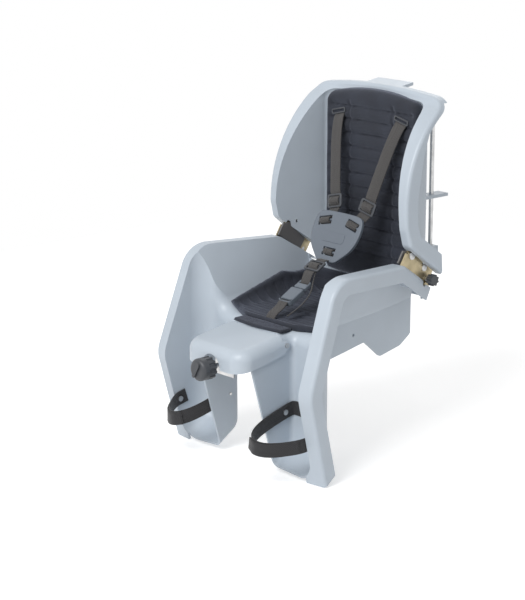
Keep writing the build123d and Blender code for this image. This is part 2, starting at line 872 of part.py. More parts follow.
with BuildPart() as hinge_guard_left:
    with BuildSketch(Plane.YZ.offset(guard_x)):
        with BuildLine():
            Polyline(*[hinge_point(*corner) for corner in guard_corners], close=True)
        make_face()
        with Locations(pivot):
            Circle(2 * pivot_radius)
        with Locations(guide):
            Circle(2 * guide_radius)
    extrude(amount=guard_thickness)
    with BuildSketch(Plane.YZ.offset(guard_x + guard_cover)):
        with Locations(pivot):
            Circle(pivot_radius)
        with Locations(guide):
            Circle(guide_radius)
    extrude(amount=guard_thickness, mode=Mode.SUBTRACT)
hinge_guard_left.part.label = "hinge_guard_left"
export_step(hinge_guard_left.part, "parts/hinge_guard_left.step")

with BuildPart() as hinge_guard_right:
    mirror(hinge_guard_left.part, about=Plane.YZ)
hinge_guard_right.part.label = "hinge_guard_right"
export_step(hinge_guard_right.part, "parts/hinge_guard_right.step")

pin_outer_x = seat_leaf_x + leaf_thickness
pin_inner_x = guard_x + guard_cover

with BuildPart() as hinge_pins:
    with BuildSketch(Plane.YZ.offset(pin_inner_x)):
        with Locations(pivot):
            Circle(pivot_radius)
    extrude(amount=pin_outer_x - pin_inner_x)
    with BuildSketch(Plane.YZ.offset(pin_outer_x)):
        with Locations(pivot):
            Circle(pin_head_radius)
    extrude(amount=pin_head_height)
    mirror(about=Plane.YZ)
hinge_pins.part.label = "hinge_pins"
export_step(hinge_pins.part, "parts/hinge_pins.step")

with BuildPart() as guide_pins:
    with BuildSketch(Plane.YZ.offset(pin_inner_x)):
        with Locations(guide):
            Circle(guide_radius)
    extrude(amount=pin_outer_x - pin_inner_x)
    with BuildSketch(Plane.YZ.offset(pin_outer_x)):
        with Locations(guide):
            Circle(guide_head_radius)
    extrude(amount=pin_head_height)
    mirror(about=Plane.YZ)
guide_pins.part.label = "guide_pins"
export_step(guide_pins.part, "parts/guide_pins.step")

with BuildPart() as seat_leaf_rivets:
    with BuildSketch(Plane.YZ.offset(seat_leaf_x - rivet_depth)):
        with Locations(hinge_point(10, -13), hinge_point(38, -13)):
            Circle(rivet_radius)
    extrude(amount=rivet_depth + leaf_thickness)
    with BuildSketch(Plane.YZ.offset(pin_outer_x)):
        with Locations(hinge_point(10, -13), hinge_point(38, -13)):
            Circle(rivet_head_radius)
    extrude(amount=rivet_head_height)
    mirror(about=Plane.YZ)
seat_leaf_rivets.part.label = "seat_leaf_rivets"
export_step(seat_leaf_rivets.part, "parts/seat_leaf_rivets.step")

with BuildPart() as back_leaf_rivets:
    with BuildSketch(Plane.YZ.offset(back_leaf_x - rivet_depth)):
        with Locations(hinge_point(18, 37), hinge_point(52, 37)):
            Circle(rivet_radius)
    extrude(amount=rivet_depth + leaf_thickness)
    with BuildSketch(Plane.YZ.offset(back_leaf_x + leaf_thickness)):
        with Locations(hinge_point(18, 37), hinge_point(52, 37)):
            Circle(rivet_head_radius)
    extrude(amount=rivet_head_height)
    mirror(about=Plane.YZ)
back_leaf_rivets.part.label = "back_leaf_rivets"
export_step(back_leaf_rivets.part, "parts/back_leaf_rivets.step")

with BuildPart() as recline_studs:
    with BuildSketch(Plane.YZ.offset(back_leaf_x)):
        with Locations(lock):
            Circle(lock_radius)
    extrude(amount=lock_knob_x + lock_knob_height - 3 - back_leaf_x)
    with BuildSketch(Plane.YZ.offset(pin_outer_x + run_gap)):
        with Locations(lock):
            Circle(lock_collar_radius)
    extrude(amount=lock_knob_x - pin_outer_x - 2 * run_gap)
    mirror(about=Plane.YZ)
recline_studs.part.label = "recline_studs"
export_step(recline_studs.part, "parts/recline_studs.step")

with BuildPart() as recline_knob_left:
    with BuildSketch(Plane.YZ.offset(lock_knob_x)):
        with Locations(lock):
            Circle(lock_knob_radius)
        with Locations(lock):
            with PolarLocations(lock_knob_radius + 1, 8):
                Circle(lock_radius, mode=Mode.SUBTRACT)
    extrude(amount=lock_knob_height)
    with BuildSketch(Plane.YZ.offset(lock_knob_x)):
        with Locations(lock):
            Circle(lock_radius + run_gap)
    extrude(amount=lock_knob_height - 2, mode=Mode.SUBTRACT)
recline_knob_left.part.label = "recline_knob_left"
export_step(recline_knob_left.part, "parts/recline_knob_left.step")

with BuildPart() as recline_knob_right:
    mirror(recline_knob_left.part, about=Plane.YZ)
recline_knob_right.part.label = "recline_knob_right"
export_step(recline_knob_right.part, "parts/recline_knob_right.step")

# Stay rod: a bent steel rod that stiffens the back
with BuildPart() as back_rod:
    with BuildLine() as rod_path:
        FilletPolyline(
            (-rod_x, rod_y, rod_low_z),
            (-rod_x, rod_y, rod_top_z),
            (rod_x, rod_y, rod_top_z),
            (rod_x, rod_y, rod_low_z),
            radius=rod_corner,
        )
    with BuildSketch(Plane.XY.offset(rod_low_z)):
        with Locations((-rod_x, rod_y)):
            Circle(rod_radius)
    sweep(path=rod_path.wire())
back_rod.part.label = "back_rod"
export_step(back_rod.part, "parts/back_rod.step")


# Foot plate on the carrier
with BuildPart() as mount_plate:
    with Locations((0, plate_rear_y, 0)):
        Box(
            2 * plate_half,
            plate_rear_y - plate_front_y,
            plate_thickness,
            align=(Align.CENTER, Align.MAX, Align.MIN),
        )
    fillet(mount_plate.edges().filter_by(Axis.Z), boss_radius)
    with GridLocations(2 * rail_x, 2 * plate_screw_y, 2, 2):
        Cone(
            screw_head_radius,
            screw_radius,
            plate_thickness,
            align=(Align.CENTER, Align.CENTER, Align.MIN),
            mode=Mode.SUBTRACT,
        )
mount_plate.part.label = "mount_plate"
export_step(mount_plate.part, "parts/mount_plate.step")

with BuildPart() as mount_screws:
    with GridLocations(2 * rail_x, 2 * plate_screw_y, 2, 2):
        Cone(screw_head_radius, screw_radius, plate_thickness, align=(Align.CENTER, Align.CENTER, Align.MIN))
        Cylinder(screw_radius, screw_depth, align=(Align.CENTER, Align.CENTER, Align.MIN))
mount_screws.part.label = "mount_screws"
export_step(mount_screws.part, "parts/mount_screws.step")


def cover_block(inset):
    """Hull of the nose cover, moved inwards by an inset."""
    half = cover_half - inset
    front = cover_front_y + inset
    rear = cover_rear_low[0] + far / 8
    slope = (cover_top_z - cover_front_top_z) / (step_y - cover_front_y)
    rear_top = cover_top_z - inset + slope * (rear - step_y)
    front_top = cover_top_z - inset + slope * (front - step_y)
    with BuildPart() as block:
        with BuildSketch(Plane.YZ):
            with BuildLine():
                Polyline((rear, rear_top), (front, front_top), (front, -far / 8), (0, -far / 8), close=True)
            make_face()
        extrude(amount=half, both=True)
        front_edges = block.edges().filter_by(Axis.Z).sort_by(Axis.Y)[:2]
        fillet(front_edges, cover_plan_radius - inset)
        top_face = block.faces().sort_by(Axis.Z)[-1]
        top_edges = top_face.edges().filter_by(lambda edge: (edge @ 0.5).Y < cover_ear[0])
        fillet(top_edges, cover_edge_radius - inset)
    return block.part


with BuildPart() as nose_cover:
    add(cover_block(0))
    add(cover_block(cover_wall), mode=Mode.SUBTRACT)
    with BuildSketch(Plane.YZ):
        with BuildLine():
            Polyline(
                (step_y - fit_gap, cover_top_z + cover_wall),
                (cover_front_y - cover_wall, cover_top_z + cover_wall),
                (cover_front_y - cover_wall, cover_front_low_z),
                (step_y, cover_rear_low[1] - 5),
                (step_y - fit_gap, cover_rear_low[1]),
                close=True,
            )
        make_face()
        with Locations(cover_ear):
            Circle(cover_ear_radius)
        with BuildLine():
            Polyline(
                (step_y - 2, cover_ear[1] + cover_ear_radius),
                (cover_ear[0], cover_ear[1] + cover_ear_radius),
                (cover_ear[0] + 3, cover_ear[1] - cover_ear_radius + 1),
                (step_y - 2, cover_rear_low[1] - 5),
                close=True,
            )
        make_face()
    extrude(amount=far / 4, both=True, mode=Mode.INTERSECT)
    with BuildSketch(Plane.XZ.offset(-cover_front_y + cover_wall)):
        with Locations((0, clamp_z)):
            Circle(cover_arch_radius)
            Rectangle(2 * cover_arch_radius, far / 8, align=(Align.CENTER, Align.MAX))
    extrude(amount=-2 * cover_wall - 4, mode=Mode.SUBTRACT)
    with BuildSketch(Plane.YZ):
        with Locations(cover_ear):
            Circle(screw_radius)
    extrude(amount=far / 4, both=True, mode=Mode.SUBTRACT)
nose_cover.part.label = "nose_cover"
export_step(nose_cover.part, "parts/nose_cover.step")


with BuildPart() as nose_screws:
    with BuildSketch(Plane.YZ.offset(spoke_guard_x - 2 * wall)):
        with Locations(cover_ear):
            Circle(screw_radius)
    extrude(amount=cover_half - spoke_guard_x + 2 * wall)
    with BuildSketch(Plane.YZ.offset(cover_half)):
        with Locations(cover_ear):
            Circle(screw_head_radius - 1)
    extrude(amount=rivet_head_height)
    mirror(about=Plane.YZ)
nose_screws.part.label = "nose_screws"
export_step(nose_screws.part, "parts/nose_screws.step")

# Carrier clamp: a bracket below the shelf, a jaw behind its rear lug and a stud turned by the knob
bracket_top = shelf_top - wall
lug_front_y = shelf_front_y + bracket_thickness

with BuildPart() as clamp_bracket:
    with Locations((0, lug_rear_y, bracket_top)):
        Box(
            2 * bracket_half,
            lug_rear_y - shelf_front_y,
            bracket_thickness,
            align=(Align.CENTER, Align.MAX, Align.MAX),
        )
    with Locations((0, lug_rear_y, bracket_top), (0, lug_front_y, bracket_top)):
        Box(
            2 * bracket_half,
            bracket_thickness,
            bracket_top - lug_low_z,
            align=(Align.CENTER, Align.MAX, Align.MAX),
        )
    with Locations((0, bracket_screw_y, bracket_top)):
        with GridLocations(2 * bracket_screw_x, 0, 2, 1):
            Cylinder(screw_radius, 4 * bracket_thickness, mode=Mode.SUBTRACT)
    with BuildSketch(Plane.XZ.offset(-lug_rear_y)):
        with Locations((0, clamp_z)):
            Circle(stud_radius + run_gap)
    extrude(amount=far / 4, mode=Mode.SUBTRACT)
clamp_bracket.part.label = "clamp_bracket"
export_step(clamp_bracket.part, "parts/clamp_bracket.step")

with BuildPart() as clamp_screws:
    with Locations((0, bracket_screw_y, shelf_top)):
        with GridLocations(2 * bracket_screw_x, 0, 2, 1):
            Cylinder(screw_head_radius, bracket_thickness, align=(Align.CENTER, Align.CENTER, Align.MIN))
            Cylinder(
                screw_radius,
                wall + 2 * bracket_thickness,
                align=(Align.CENTER, Align.CENTER, Align.MAX),
            )
clamp_screws.part.label = "clamp_screws"
export_step(clamp_screws.part, "parts/clamp_screws.step")

with BuildPart() as clamp_stud:
    with BuildSketch(Plane.XZ.offset(-stud_rear_y)):
        with Locations((0, clamp_z)):
            Circle(stud_radius)
    extrude(amount=stud_rear_y - clamp_knob_rear_y + clamp_knob_radius / 2)
clamp_stud.part.label = "clamp_stud"
export_step(clamp_stud.part, "parts/clamp_stud.step")

with BuildPart() as clamp_knob:
    with BuildSketch(Plane.XZ.offset(-clamp_knob_rear_y)):
        with Locations((0, clamp_z)):
            Circle(clamp_knob_radius)
    extrude(amount=clamp_knob_rear_y - clamp_knob_front_y)
    fillet(clamp_knob.faces().sort_by(Axis.Y)[0].edges(), boss_radius)
    with BuildSketch(Plane.XZ.offset(-clamp_knob_front_y + 3)):
        with Locations((0, clamp_z)):
            SlotOverall(1.5 * clamp_knob_radius, boss_radius, rotation=60)
    extrude(amount=-boss_radius)
    with BuildSketch(Plane.XZ.offset(-clamp_knob_rear_y)):
        with Locations((0, clamp_z)):
            Circle(stud_radius)
    extrude(amount=clamp_knob_radius / 2, mode=Mode.SUBTRACT)
    with BuildSketch(Plane.XZ.offset(-clamp_knob_rear_y)):
        with Locations((0, clamp_z)):
            with PolarLocations(clamp_knob_radius + 1, 12):
                Circle(lock_radius, mode=Mode.ADD)
    extrude(amount=(clamp_knob_rear_y - clamp_knob_front_y) / 2, mode=Mode.SUBTRACT)
clamp_knob.part.label = "clamp_knob"
export_step(clamp_knob.part, "parts/clamp_knob.step")

with BuildPart() as clamp_jaw:
    with Locations((0, jaw_rear_y, jaw_top_z)):
        Box(
            2 * jaw_half,
            jaw_rear_y - jaw_front_y,
            jaw_top_z - jaw_low_z,
            align=(Align.CENTER, Align.MAX, Align.MAX),
        )
    with BuildSketch(Plane.XZ.offset(-jaw_rear_y)):
        with Locations((0, clamp_z)):
            Circle(stud_radius + run_gap)
    extrude(amount=far / 4, mode=Mode.SUBTRACT)
    with Locations((0, jaw_front_y, jaw_low_z)):
        Box(2 * jaw_half, boss_radius, boss_radius, align=(Align.CENTER, Align.MAX, Align.MIN))
    fillet(clamp_jaw.edges().filter_by(Axis.X).sort_by(Axis.Z)[-2:], 2)
clamp_jaw.part.label = "clamp_jaw"
export_step(clamp_jaw.part, "parts/clamp_jaw.step")

# Pads: quilted cushions laid in the back and in the pan
pad_rear_y = cavity_rear_y - pad_gap
pad_front_y = pad_rear_y - back_pad_thickness

with BuildPart() as back_pad:
    with BuildSketch(Plane.XZ.offset(-pad_rear_y)) as pad_outline:
        with BuildLine():
            Polyline(
                (-back_pad_half, back_pad_top_z),
                (-back_pad_half, back_pad_low_z),
                (back_pad_half, back_pad_low_z),
                (back_pad_half, back_pad_top_z),
            )
            ThreePointArc(
                (back_pad_half, back_pad_top_z),
                (0, back_pad_crown_z),
                (-back_pad_half, back_pad_top_z),
            )
        make_face()
        fillet(pad_outline.vertices(), back_pad_corner)
    extrude(amount=back_pad_thickness)
    fillet(back_pad.faces().sort_by(Axis.Y)[0].edges(), back_pad_edge)
    fillet(back_pad.faces().sort_by(Axis.Y)[-1].edges(), back_pad_roll)
    for row in range(back_channels):
        channel_z = back_channels_z + (row - (back_channels - 1) / 2) * back_channel_pitch
        with Locations((0, pad_front_y, channel_z)):
            Cylinder(channel_radius, 2 * back_channel_half, rotation=(0, 90, 0), mode=Mode.SUBTRACT)
    with Locations((seam_x, pad_front_y, back_channels_z), (-seam_x, pad_front_y, back_channels_z)):
        Cylinder(channel_radius / 2, back_channels * back_channel_pitch, mode=Mode.SUBTRACT)
    for side in (-1, 1):
        with Locations((side * shoulder_x, pad_rear_y, shoulder_z)):
            Box(
                strap_slot_width,
                4 * back_pad_thickness,
                strap_slot_depth,
                rotation=(0, side * shoulder_turn, 0),
                mode=Mode.SUBTRACT,
            )
back_pad.part.label = "back_pad"
export_step(back_pad.part, "parts/back_pad.step")

seat_pad_outer = seat_space(-pad_gap)
seat_pad_inner = seat_space(-pad_gap - seat_pad_thickness)

with BuildPart() as seat_pad:
    add(seat_pad_outer)
    add(seat_pad_inner, mode=Mode.SUBTRACT)
    with BuildSketch(Plane.YZ):
        with BuildLine():
            Polyline(
                (pan_rear_y, 0),
                (pan_rear_y, rear_wall_dip - 6),
                (60, 90),
                (34, 95),
                (-28, 77),
                (seat_pad_side[1], pan_top + seat_pad_thickness + 1),
                (seat_pad_front_y, pan_top + seat_pad_thickness + 1),
                (seat_pad_front_y, 0),
                close=True,
            )
        make_face()
    extrude(amount=far / 2, mode=Mode.INTERSECT)
    with BuildSketch(Plane.XY):
        with BuildLine():
            Polyline(
                (seat_pad_front_half, seat_pad_front_y),
                seat_pad_side,
                (far / 2, seat_pad_side[1]),
                (far / 2, -far),
                (seat_pad_front_half, -far),
                close=True,
            )
        make_face()
    extrude(amount=far, mode=Mode.SUBTRACT)
    seat_pad_top = pan_top + pad_gap + seat_pad_thickness
    for row in range(seat_channels):
        with Locations((0, seat_channels_y + row * seat_channel_pitch, seat_pad_top)):
            Cylinder(
                channel_radius,
                seat_channel_half,
                rotation=(0, 90, 0),
                align=(Align.CENTER, Align.CENTER, Align.MIN),
                mode=Mode.SUBTRACT,
            )
    mirror(about=Plane.YZ)
    with Locations((0, crotch_y, pan_top)):
        Box(strap_slot_width, strap_slot_depth, far / 4, mode=Mode.SUBTRACT)
seat_pad.part.label = "seat_pad"
export_step(seat_pad.part, "parts/seat_pad.step")

with BuildPart() as pad_flap:
    with Locations((0, seat_pad_front_y - pad_gap, pan_top + pad_gap)):
        Box(
            2 * flap_half,
            seat_pad_front_y - pad_gap - flap_front_y,
            flap_thickness,
            align=(Align.CENTER, Align.MAX, Align.MIN),
        )
    fillet(pad_flap.edges().filter_by(Axis.Z).sort_by(Axis.Y)[:2], boss_radius)
pad_flap.part.label = "pad_flap"
export_step(pad_flap.part, "parts/pad_flap.step")


# Harness: webbing traced along its run and given its width
shoulder_plane = Plane(origin=(shoulder_x, 0, shoulder_z), x_dir=(0, 1, 0), z_dir=(1, 0, -shoulder_lean))
shoulder_stretch = math.hypot(1, shoulder_lean)
chest_turn = math.radians(chest_lean)
chest_up = (math.sin(chest_turn), math.cos(chest_turn))
chest_out = (-math.cos(chest_turn), math.sin(chest_turn))
chest_plane = Plane(origin=(0, *chest_centre), x_dir=(1, 0, 0), z_dir=(0, *chest_out))


def chest_point(up, out):
    """Point (y, z) at a height above the chest plate's middle and a distance in front of it."""
    y = chest_centre[0] + up * chest_up[0] + out * chest_out[0]
    return (y, chest_centre[1] + up * chest_up[1] + out * chest_out[1])


def on_shoulder(point):
    """Place of a point (y, z) in the shoulder strap's own plane."""
    return (point[0], (point[1] - shoulder_z) * shoulder_stretch)


def turned(start, end):
    """Turn that lays a rectangle's height along a run, in degrees."""
    run = between(start, end)
    return math.degrees(math.atan2(run[1], run[0])) - 90


anchor_y = cavity_rear_y + wall + anchor_radius + 2 * strap_slot_gap
chest_slots_up = (chest_slot_up, chest_slot_up - chest_bar_pitch)
chest_wrap = chest_thickness / 2 + strap_thickness


def slot_x(up):
    """Distance from the middle of a shoulder strap's slot in the chest plate."""
    return shoulder_x - shoulder_lean * (shoulder_z - chest_point(up, 0)[1])


with BuildPart() as shoulder_strap_left:
    with BuildSketch(shoulder_plane):
        with BuildLine():
            Polyline(
                on_shoulder((anchor_y, shoulder_z)),
                on_shoulder((pad_exit_y, shoulder_z)),
                on_shoulder(shoulder_bend),
                on_shoulder(chest_point(chest_slots_up[0], -chest_wrap)),
                on_shoulder(chest_point(chest_slots_up[0], chest_wrap)),
                on_shoulder(chest_point(chest_slots_up[1], chest_wrap)),
                on_shoulder(chest_point(chest_slots_up[1], -chest_wrap)),
            )
        trace(line_width=strap_thickness)
    extrude(amount=strap_width / 2, both=True)
    with Locations(Location((shoulder_x, anchor_y, shoulder_z), (0, shoulder_turn, 0))):
        Box(strap_width, 2 * anchor_radius + strap_thickness, 2 * anchor_radius + strap_thickness)
        Cylinder(anchor_radius, anchor_length, rotation=(0, 90, 0), mode=Mode.SUBTRACT)
shoulder_strap_left.part.label = "shoulder_strap_left"
export_step(shoulder_strap_left.part, "parts/shoulder_strap_left.step")

with BuildPart() as shoulder_strap_right:
    mirror(shoulder_strap_left.part, about=Plane.YZ)
shoulder_strap_right.part.label = "shoulder_strap_right"
export_step(shoulder_strap_right.part, "parts/shoulder_strap_right.step")

with BuildPart() as shoulder_anchor_bars:
    for side in (-1, 1):
        with Locations((side * shoulder_x, anchor_y, shoulder_z)):
            Cylinder(anchor_radius, anchor_length, rotation=(0, 90 + side * shoulder_turn, 0))
shoulder_anchor_bars.part.label = "shoulder_anchor_bars"
export_step(shoulder_anchor_bars.part, "parts/shoulder_anchor_bars.step")

strap_top = on_shoulder((pad_exit_y, shoulder_z))
strap_bend = on_shoulder(shoulder_bend)
slider_at = line_offset(strap_bend, between(strap_bend, strap_top), 0.6 * slider_length)

with BuildPart() as strap_slider_left:
    with BuildSketch(shoulder_plane):
        with Locations(slider_at):
            Rectangle(slider_depth, slider_length, rotation=turned(strap_bend, strap_top))
    extrude(amount=slider_width / 2, both=True)
    fillet(strap_slider_left.edges().filter_by(Axis((0, 0, 0), shoulder_plane.z_dir)), strap_thickness)
    with BuildSketch(shoulder_plane):
        with BuildLine():
            Line(strap_bend, strap_top)
        trace(line_width=strap_thickness)
    extrude(amount=strap_width / 2 + strap_slot_gap, both=True, mode=Mode.SUBTRACT)
strap_slider_left.part.label = "strap_slider_left"
export_step(strap_slider_left.part, "parts/strap_slider_left.step")

with BuildPart() as strap_slider_right:
    mirror(strap_slider_left.part, about=Plane.YZ)
strap_slider_right.part.label = "strap_slider_right"
export_step(strap_slider_right.part, "parts/strap_slider_right.step")

with BuildPart() as chest_plate:
    with BuildSketch(chest_plane) as chest_outline:
        with BuildLine():
            ThreePointArc((-chest_top[0], chest_top[1]), (0, chest_crown_up), chest_top)
            ThreePointArc(chest_top, chest_side, chest_low)
            Line(chest_low, (-chest_low[0], chest_low[1]))
            ThreePointArc(
                (-chest_low[0], chest_low[1]),
                (-chest_side[0], chest_side[1]),
                (-chest_top[0], chest_top[1]),
            )
        make_face()
        fillet(chest_outline.vertices(), chest_corner)
        for up in chest_slots_up:
            for side in (-1, 1):
                with Locations((side * slot_x(up), up)):
                    Rectangle(
                        strap_width + 3 * strap_slot_gap,
                        strap_thickness + 3 * strap_slot_gap,
                        rotation=-side * shoulder_turn,
                        mode=Mode.SUBTRACT,
                    )
        with Locations((0, chest_slot_down)):
            Rectangle(strap_width + 3 * strap_slot_gap, chest_slot_height, mode=Mode.SUBTRACT)
    extrude(amount=chest_thickness / 2, both=True)
chest_plate.part.label = "chest_plate"
export_step(chest_plate.part, "parts/chest_plate.step")

link_up = chest_slot_down + chest_slot_height / 2 - pad_gap - strap_thickness / 2
buckle_line = between(buckle_top, buckle_low)
link_end = line_offset(buckle_top, buckle_line, 3)

with BuildPart() as link_strap:
    with BuildSketch(Plane.YZ):
        with BuildLine():
            Polyline(chest_point(link_up, -8), chest_point(link_up, 10), adjuster_at, link_end)
        trace(line_width=strap_thickness)
    extrude(amount=strap_width / 2, both=True)
link_strap.part.label = "link_strap"
export_step(link_strap.part, "parts/link_strap.step")

with BuildPart() as strap_adjuster:
    with BuildSketch(Plane.YZ):
        with Locations(adjuster_at):
            Rectangle(slider_depth, slider_length, rotation=turned(link_end, chest_point(link_up, 10)))
    extrude(amount=slider_width / 2, both=True)
    fillet(strap_adjuster.edges().filter_by(Axis.X), strap_thickness)
    add(link_strap.part, mode=Mode.SUBTRACT)
strap_adjuster.part.label = "strap_adjuster"
export_step(strap_adjuster.part, "parts/strap_adjuster.step")

buckle_turn = turned(buckle_low, buckle_top)
male_middle = line_offset(buckle_top, buckle_line, male_at)
tongue_middle = line_offset(male_middle, buckle_line, tongue_at)
female_middle = line_offset(buckle_top, buckle_line, female_at)

with BuildPart() as buckle_male:
    with BuildSketch(Plane.YZ):
        with Locations(male_middle):
            Rectangle(*male_size, rotation=buckle_turn)
    extrude(amount=male_half, both=True)
    fillet(buckle_male.edges().filter_by(Axis.X), strap_thickness)
    with BuildSketch(Plane.YZ):
        with Locations(tongue_middle):
            Rectangle(*tongue_size, rotation=buckle_turn)
    extrude(amount=tongue_half, both=True)
    add(link_strap.part, mode=Mode.SUBTRACT)
buckle_male.part.label = "buckle_male"
export_step(buckle_male.part, "parts/buckle_male.step")

crotch_start = line_offset(buckle_low, buckle_line, -8)
crotch_low_z = pan_top - wall - 2 * anchor_radius

with BuildPart() as crotch_strap:
    with BuildSketch(Plane.YZ):
        with BuildLine():
            Polyline(crotch_start, (crotch_y, crotch_bend_z), (crotch_y, crotch_low_z))
        trace(line_width=strap_thickness)
    extrude(amount=strap_width / 2, both=True)
    with Locations((0, crotch_y, crotch_low_z)):
        Box(strap_width, 2 * anchor_radius + strap_thickness, 2 * anchor_radius + strap_thickness)
        Cylinder(anchor_radius, anchor_length, rotation=(0, 90, 0), mode=Mode.SUBTRACT)
crotch_strap.part.label = "crotch_strap"
export_step(crotch_strap.part, "parts/crotch_strap.step")

with BuildPart() as crotch_anchor_bar:
    with Locations((0, crotch_y, crotch_low_z)):
        Cylinder(anchor_radius, anchor_length, rotation=(0, 90, 0))
crotch_anchor_bar.part.label = "crotch_anchor_bar"
export_step(crotch_anchor_bar.part, "parts/crotch_anchor_bar.step")

with BuildPart() as buckle_female:
    with BuildSketch(Plane.YZ):
        with Locations(female_middle):
            Rectangle(*female_size, rotation=buckle_turn)
    extrude(amount=female_half, both=True)
    fillet(buckle_female.edges().filter_by(Axis.X), 2 * strap_slot_gap + run_gap)
    with BuildSketch(Plane.YZ):
        with Locations(line_offset(tongue_middle, buckle_line, -1)):
            Rectangle(tongue_size[0] + 2 * run_gap, tongue_size[1] + 2, rotation=buckle_turn)
    extrude(amount=tongue_half + run_gap, both=True, mode=Mode.SUBTRACT)
    add(crotch_strap.part, mode=Mode.SUBTRACT)
buckle_female.part.label = "buckle_female"
export_step(buckle_female.part, "parts/buckle_female.step")

# Foot straps: bands across the front of the foot wells, riveted to both walls
band_gap = foot_strap_thickness / 2 + pad_gap
band_inner_x = spoke_guard_x + band_gap
outer_start = rim_plane(rim_width + band_gap).from_local_coords(Vector(foot_rivet_outer_y + 10, 0, 0))
outer_end = rim_plane(rim_width + band_gap).from_local_coords(Vector(foot_rivet_outer_y - 12, 0, 0))

band_plane = Plane(
    origin=foot_strap_at,
    x_dir=(1, 0, foot_strap_rise[0]),
    z_dir=(-foot_strap_rise[0], -foot_strap_rise[1], 1),
)


def on_band(x, y):
    """Place of a point of the foot well, seen from above, in the foot strap's own plane."""
    place = band_plane.to_local_coords(Vector(x, y, strap_height(x, y)))
    return (place.X, place.Y)


calf_start_x = band_inner_x + foot_strap_back

with BuildPart() as foot_strap_left:
    with BuildSketch(band_plane):
        with BuildLine():
            FilletPolyline(
                on_band(calf_start_x, calf_at(calf_start_x, 0) - band_gap),
                on_band(band_inner_x, calf_at(band_inner_x, 0) - band_gap),
                on_band(band_inner_x, foot_strap_front_y + 40),
                on_band(band_inner_x + 12, foot_strap_front_y + 8),
                on_band(band_inner_x + 34, foot_strap_front_y),
                on_band(band_inner_x + 60, foot_strap_front_y + 14),
                on_band(outer_end.X, outer_end.Y),
                on_band(outer_start.X, outer_start.Y),
                radius=foot_strap_bend,
            )
        trace(line_width=foot_strap_thickness)
    extrude(amount=strap_width / 2, dir=(0, 0, 1), both=True)
    with BuildSketch(Plane.YZ.offset(spoke_guard_x)):
        with Locations(inner_rivet):
            Circle(rivet_radius)
    extrude(amount=3 * band_gap, mode=Mode.SUBTRACT)
    with BuildSketch(rim_plane(rim_width)):
        with Locations(outer_rivet):
            Circle(rivet_radius)
    extrude(amount=-3 * band_gap, mode=Mode.SUBTRACT)
foot_strap_left.part.label = "foot_strap_left"
export_step(foot_strap_left.part, "parts/foot_strap_left.step")

with BuildPart() as foot_strap_right:
    mirror(foot_strap_left.part, about=Plane.YZ)
foot_strap_right.part.label = "foot_strap_right"
export_step(foot_strap_right.part, "parts/foot_strap_right.step")

with BuildPart() as foot_strap_rivets:
    with BuildSketch(Plane.YZ.offset(spoke_guard_x - wall - 1)):
        with Locations(inner_rivet):
            Circle(rivet_radius)
    extrude(amount=wall + 1 + 2 * band_gap - pad_gap)
    with BuildSketch(Plane.YZ.offset(spoke_guard_x + 2 * band_gap - pad_gap)):
        with Locations(inner_rivet):
            Circle(rivet_head_radius)
    extrude(amount=rivet_head_height)
    with BuildSketch(rim_plane(rim_width - wall - 1)):
        with Locations(outer_rivet):
            Circle(rivet_radius)
    extrude(amount=-wall - 1 - 2 * band_gap + pad_gap)
    with BuildSketch(rim_plane(rim_width + 2 * band_gap - pad_gap)):
        with Locations(outer_rivet):
            Circle(rivet_head_radius)
    extrude(amount=-rivet_head_height)
    mirror(about=Plane.YZ)
foot_strap_rivets.part.label = "foot_strap_rivets"
export_step(foot_strap_rivets.part, "parts/foot_strap_rivets.step")
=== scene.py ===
"""Dressing of the child bike seat: pads, webbing, buckles, materials, light and camera."""

import json
import math

import bmesh
import bpy
from mathutils import Matrix, Vector, noise


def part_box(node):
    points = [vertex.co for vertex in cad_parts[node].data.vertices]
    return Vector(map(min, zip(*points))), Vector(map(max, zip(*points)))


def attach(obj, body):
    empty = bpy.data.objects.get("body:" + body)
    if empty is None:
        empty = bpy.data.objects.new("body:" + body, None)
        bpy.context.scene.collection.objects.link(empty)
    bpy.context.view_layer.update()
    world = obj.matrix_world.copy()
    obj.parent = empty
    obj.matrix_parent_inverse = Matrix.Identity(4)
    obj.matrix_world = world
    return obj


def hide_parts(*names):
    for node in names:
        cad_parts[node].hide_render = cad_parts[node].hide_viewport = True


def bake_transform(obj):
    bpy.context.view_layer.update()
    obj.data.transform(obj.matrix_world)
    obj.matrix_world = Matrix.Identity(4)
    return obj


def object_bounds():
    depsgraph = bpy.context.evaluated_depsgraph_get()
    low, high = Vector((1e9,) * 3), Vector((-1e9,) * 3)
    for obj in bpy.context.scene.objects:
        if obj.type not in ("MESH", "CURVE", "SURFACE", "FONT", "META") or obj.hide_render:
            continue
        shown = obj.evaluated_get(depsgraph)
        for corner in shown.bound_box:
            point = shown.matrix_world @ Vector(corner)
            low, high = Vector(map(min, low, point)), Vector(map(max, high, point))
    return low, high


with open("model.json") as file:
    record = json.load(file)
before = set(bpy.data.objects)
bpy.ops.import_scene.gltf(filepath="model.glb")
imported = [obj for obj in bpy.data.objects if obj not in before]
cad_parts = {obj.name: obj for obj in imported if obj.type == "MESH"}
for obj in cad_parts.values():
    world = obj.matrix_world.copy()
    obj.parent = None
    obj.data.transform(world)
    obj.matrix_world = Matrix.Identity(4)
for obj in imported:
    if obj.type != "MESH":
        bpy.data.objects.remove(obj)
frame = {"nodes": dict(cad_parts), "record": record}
cad_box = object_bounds()

MM = 0.001
RIGHT = (1, 0, 0)
UP = (0, 0, 1)
HANDS = ((1, "left"), (-1, "right"))

# Camera, fitted to the photograph's 525 x 600 frame
CAMERA_PLACE = (2.2387, -2.1123, 0.8629)
CAMERA_TURN = (75.61, 0.0, 48.28)
CAMERA_LENS = 117.44
CAMERA_SENSOR = 36.0
CAMERA_REACH = 50.0

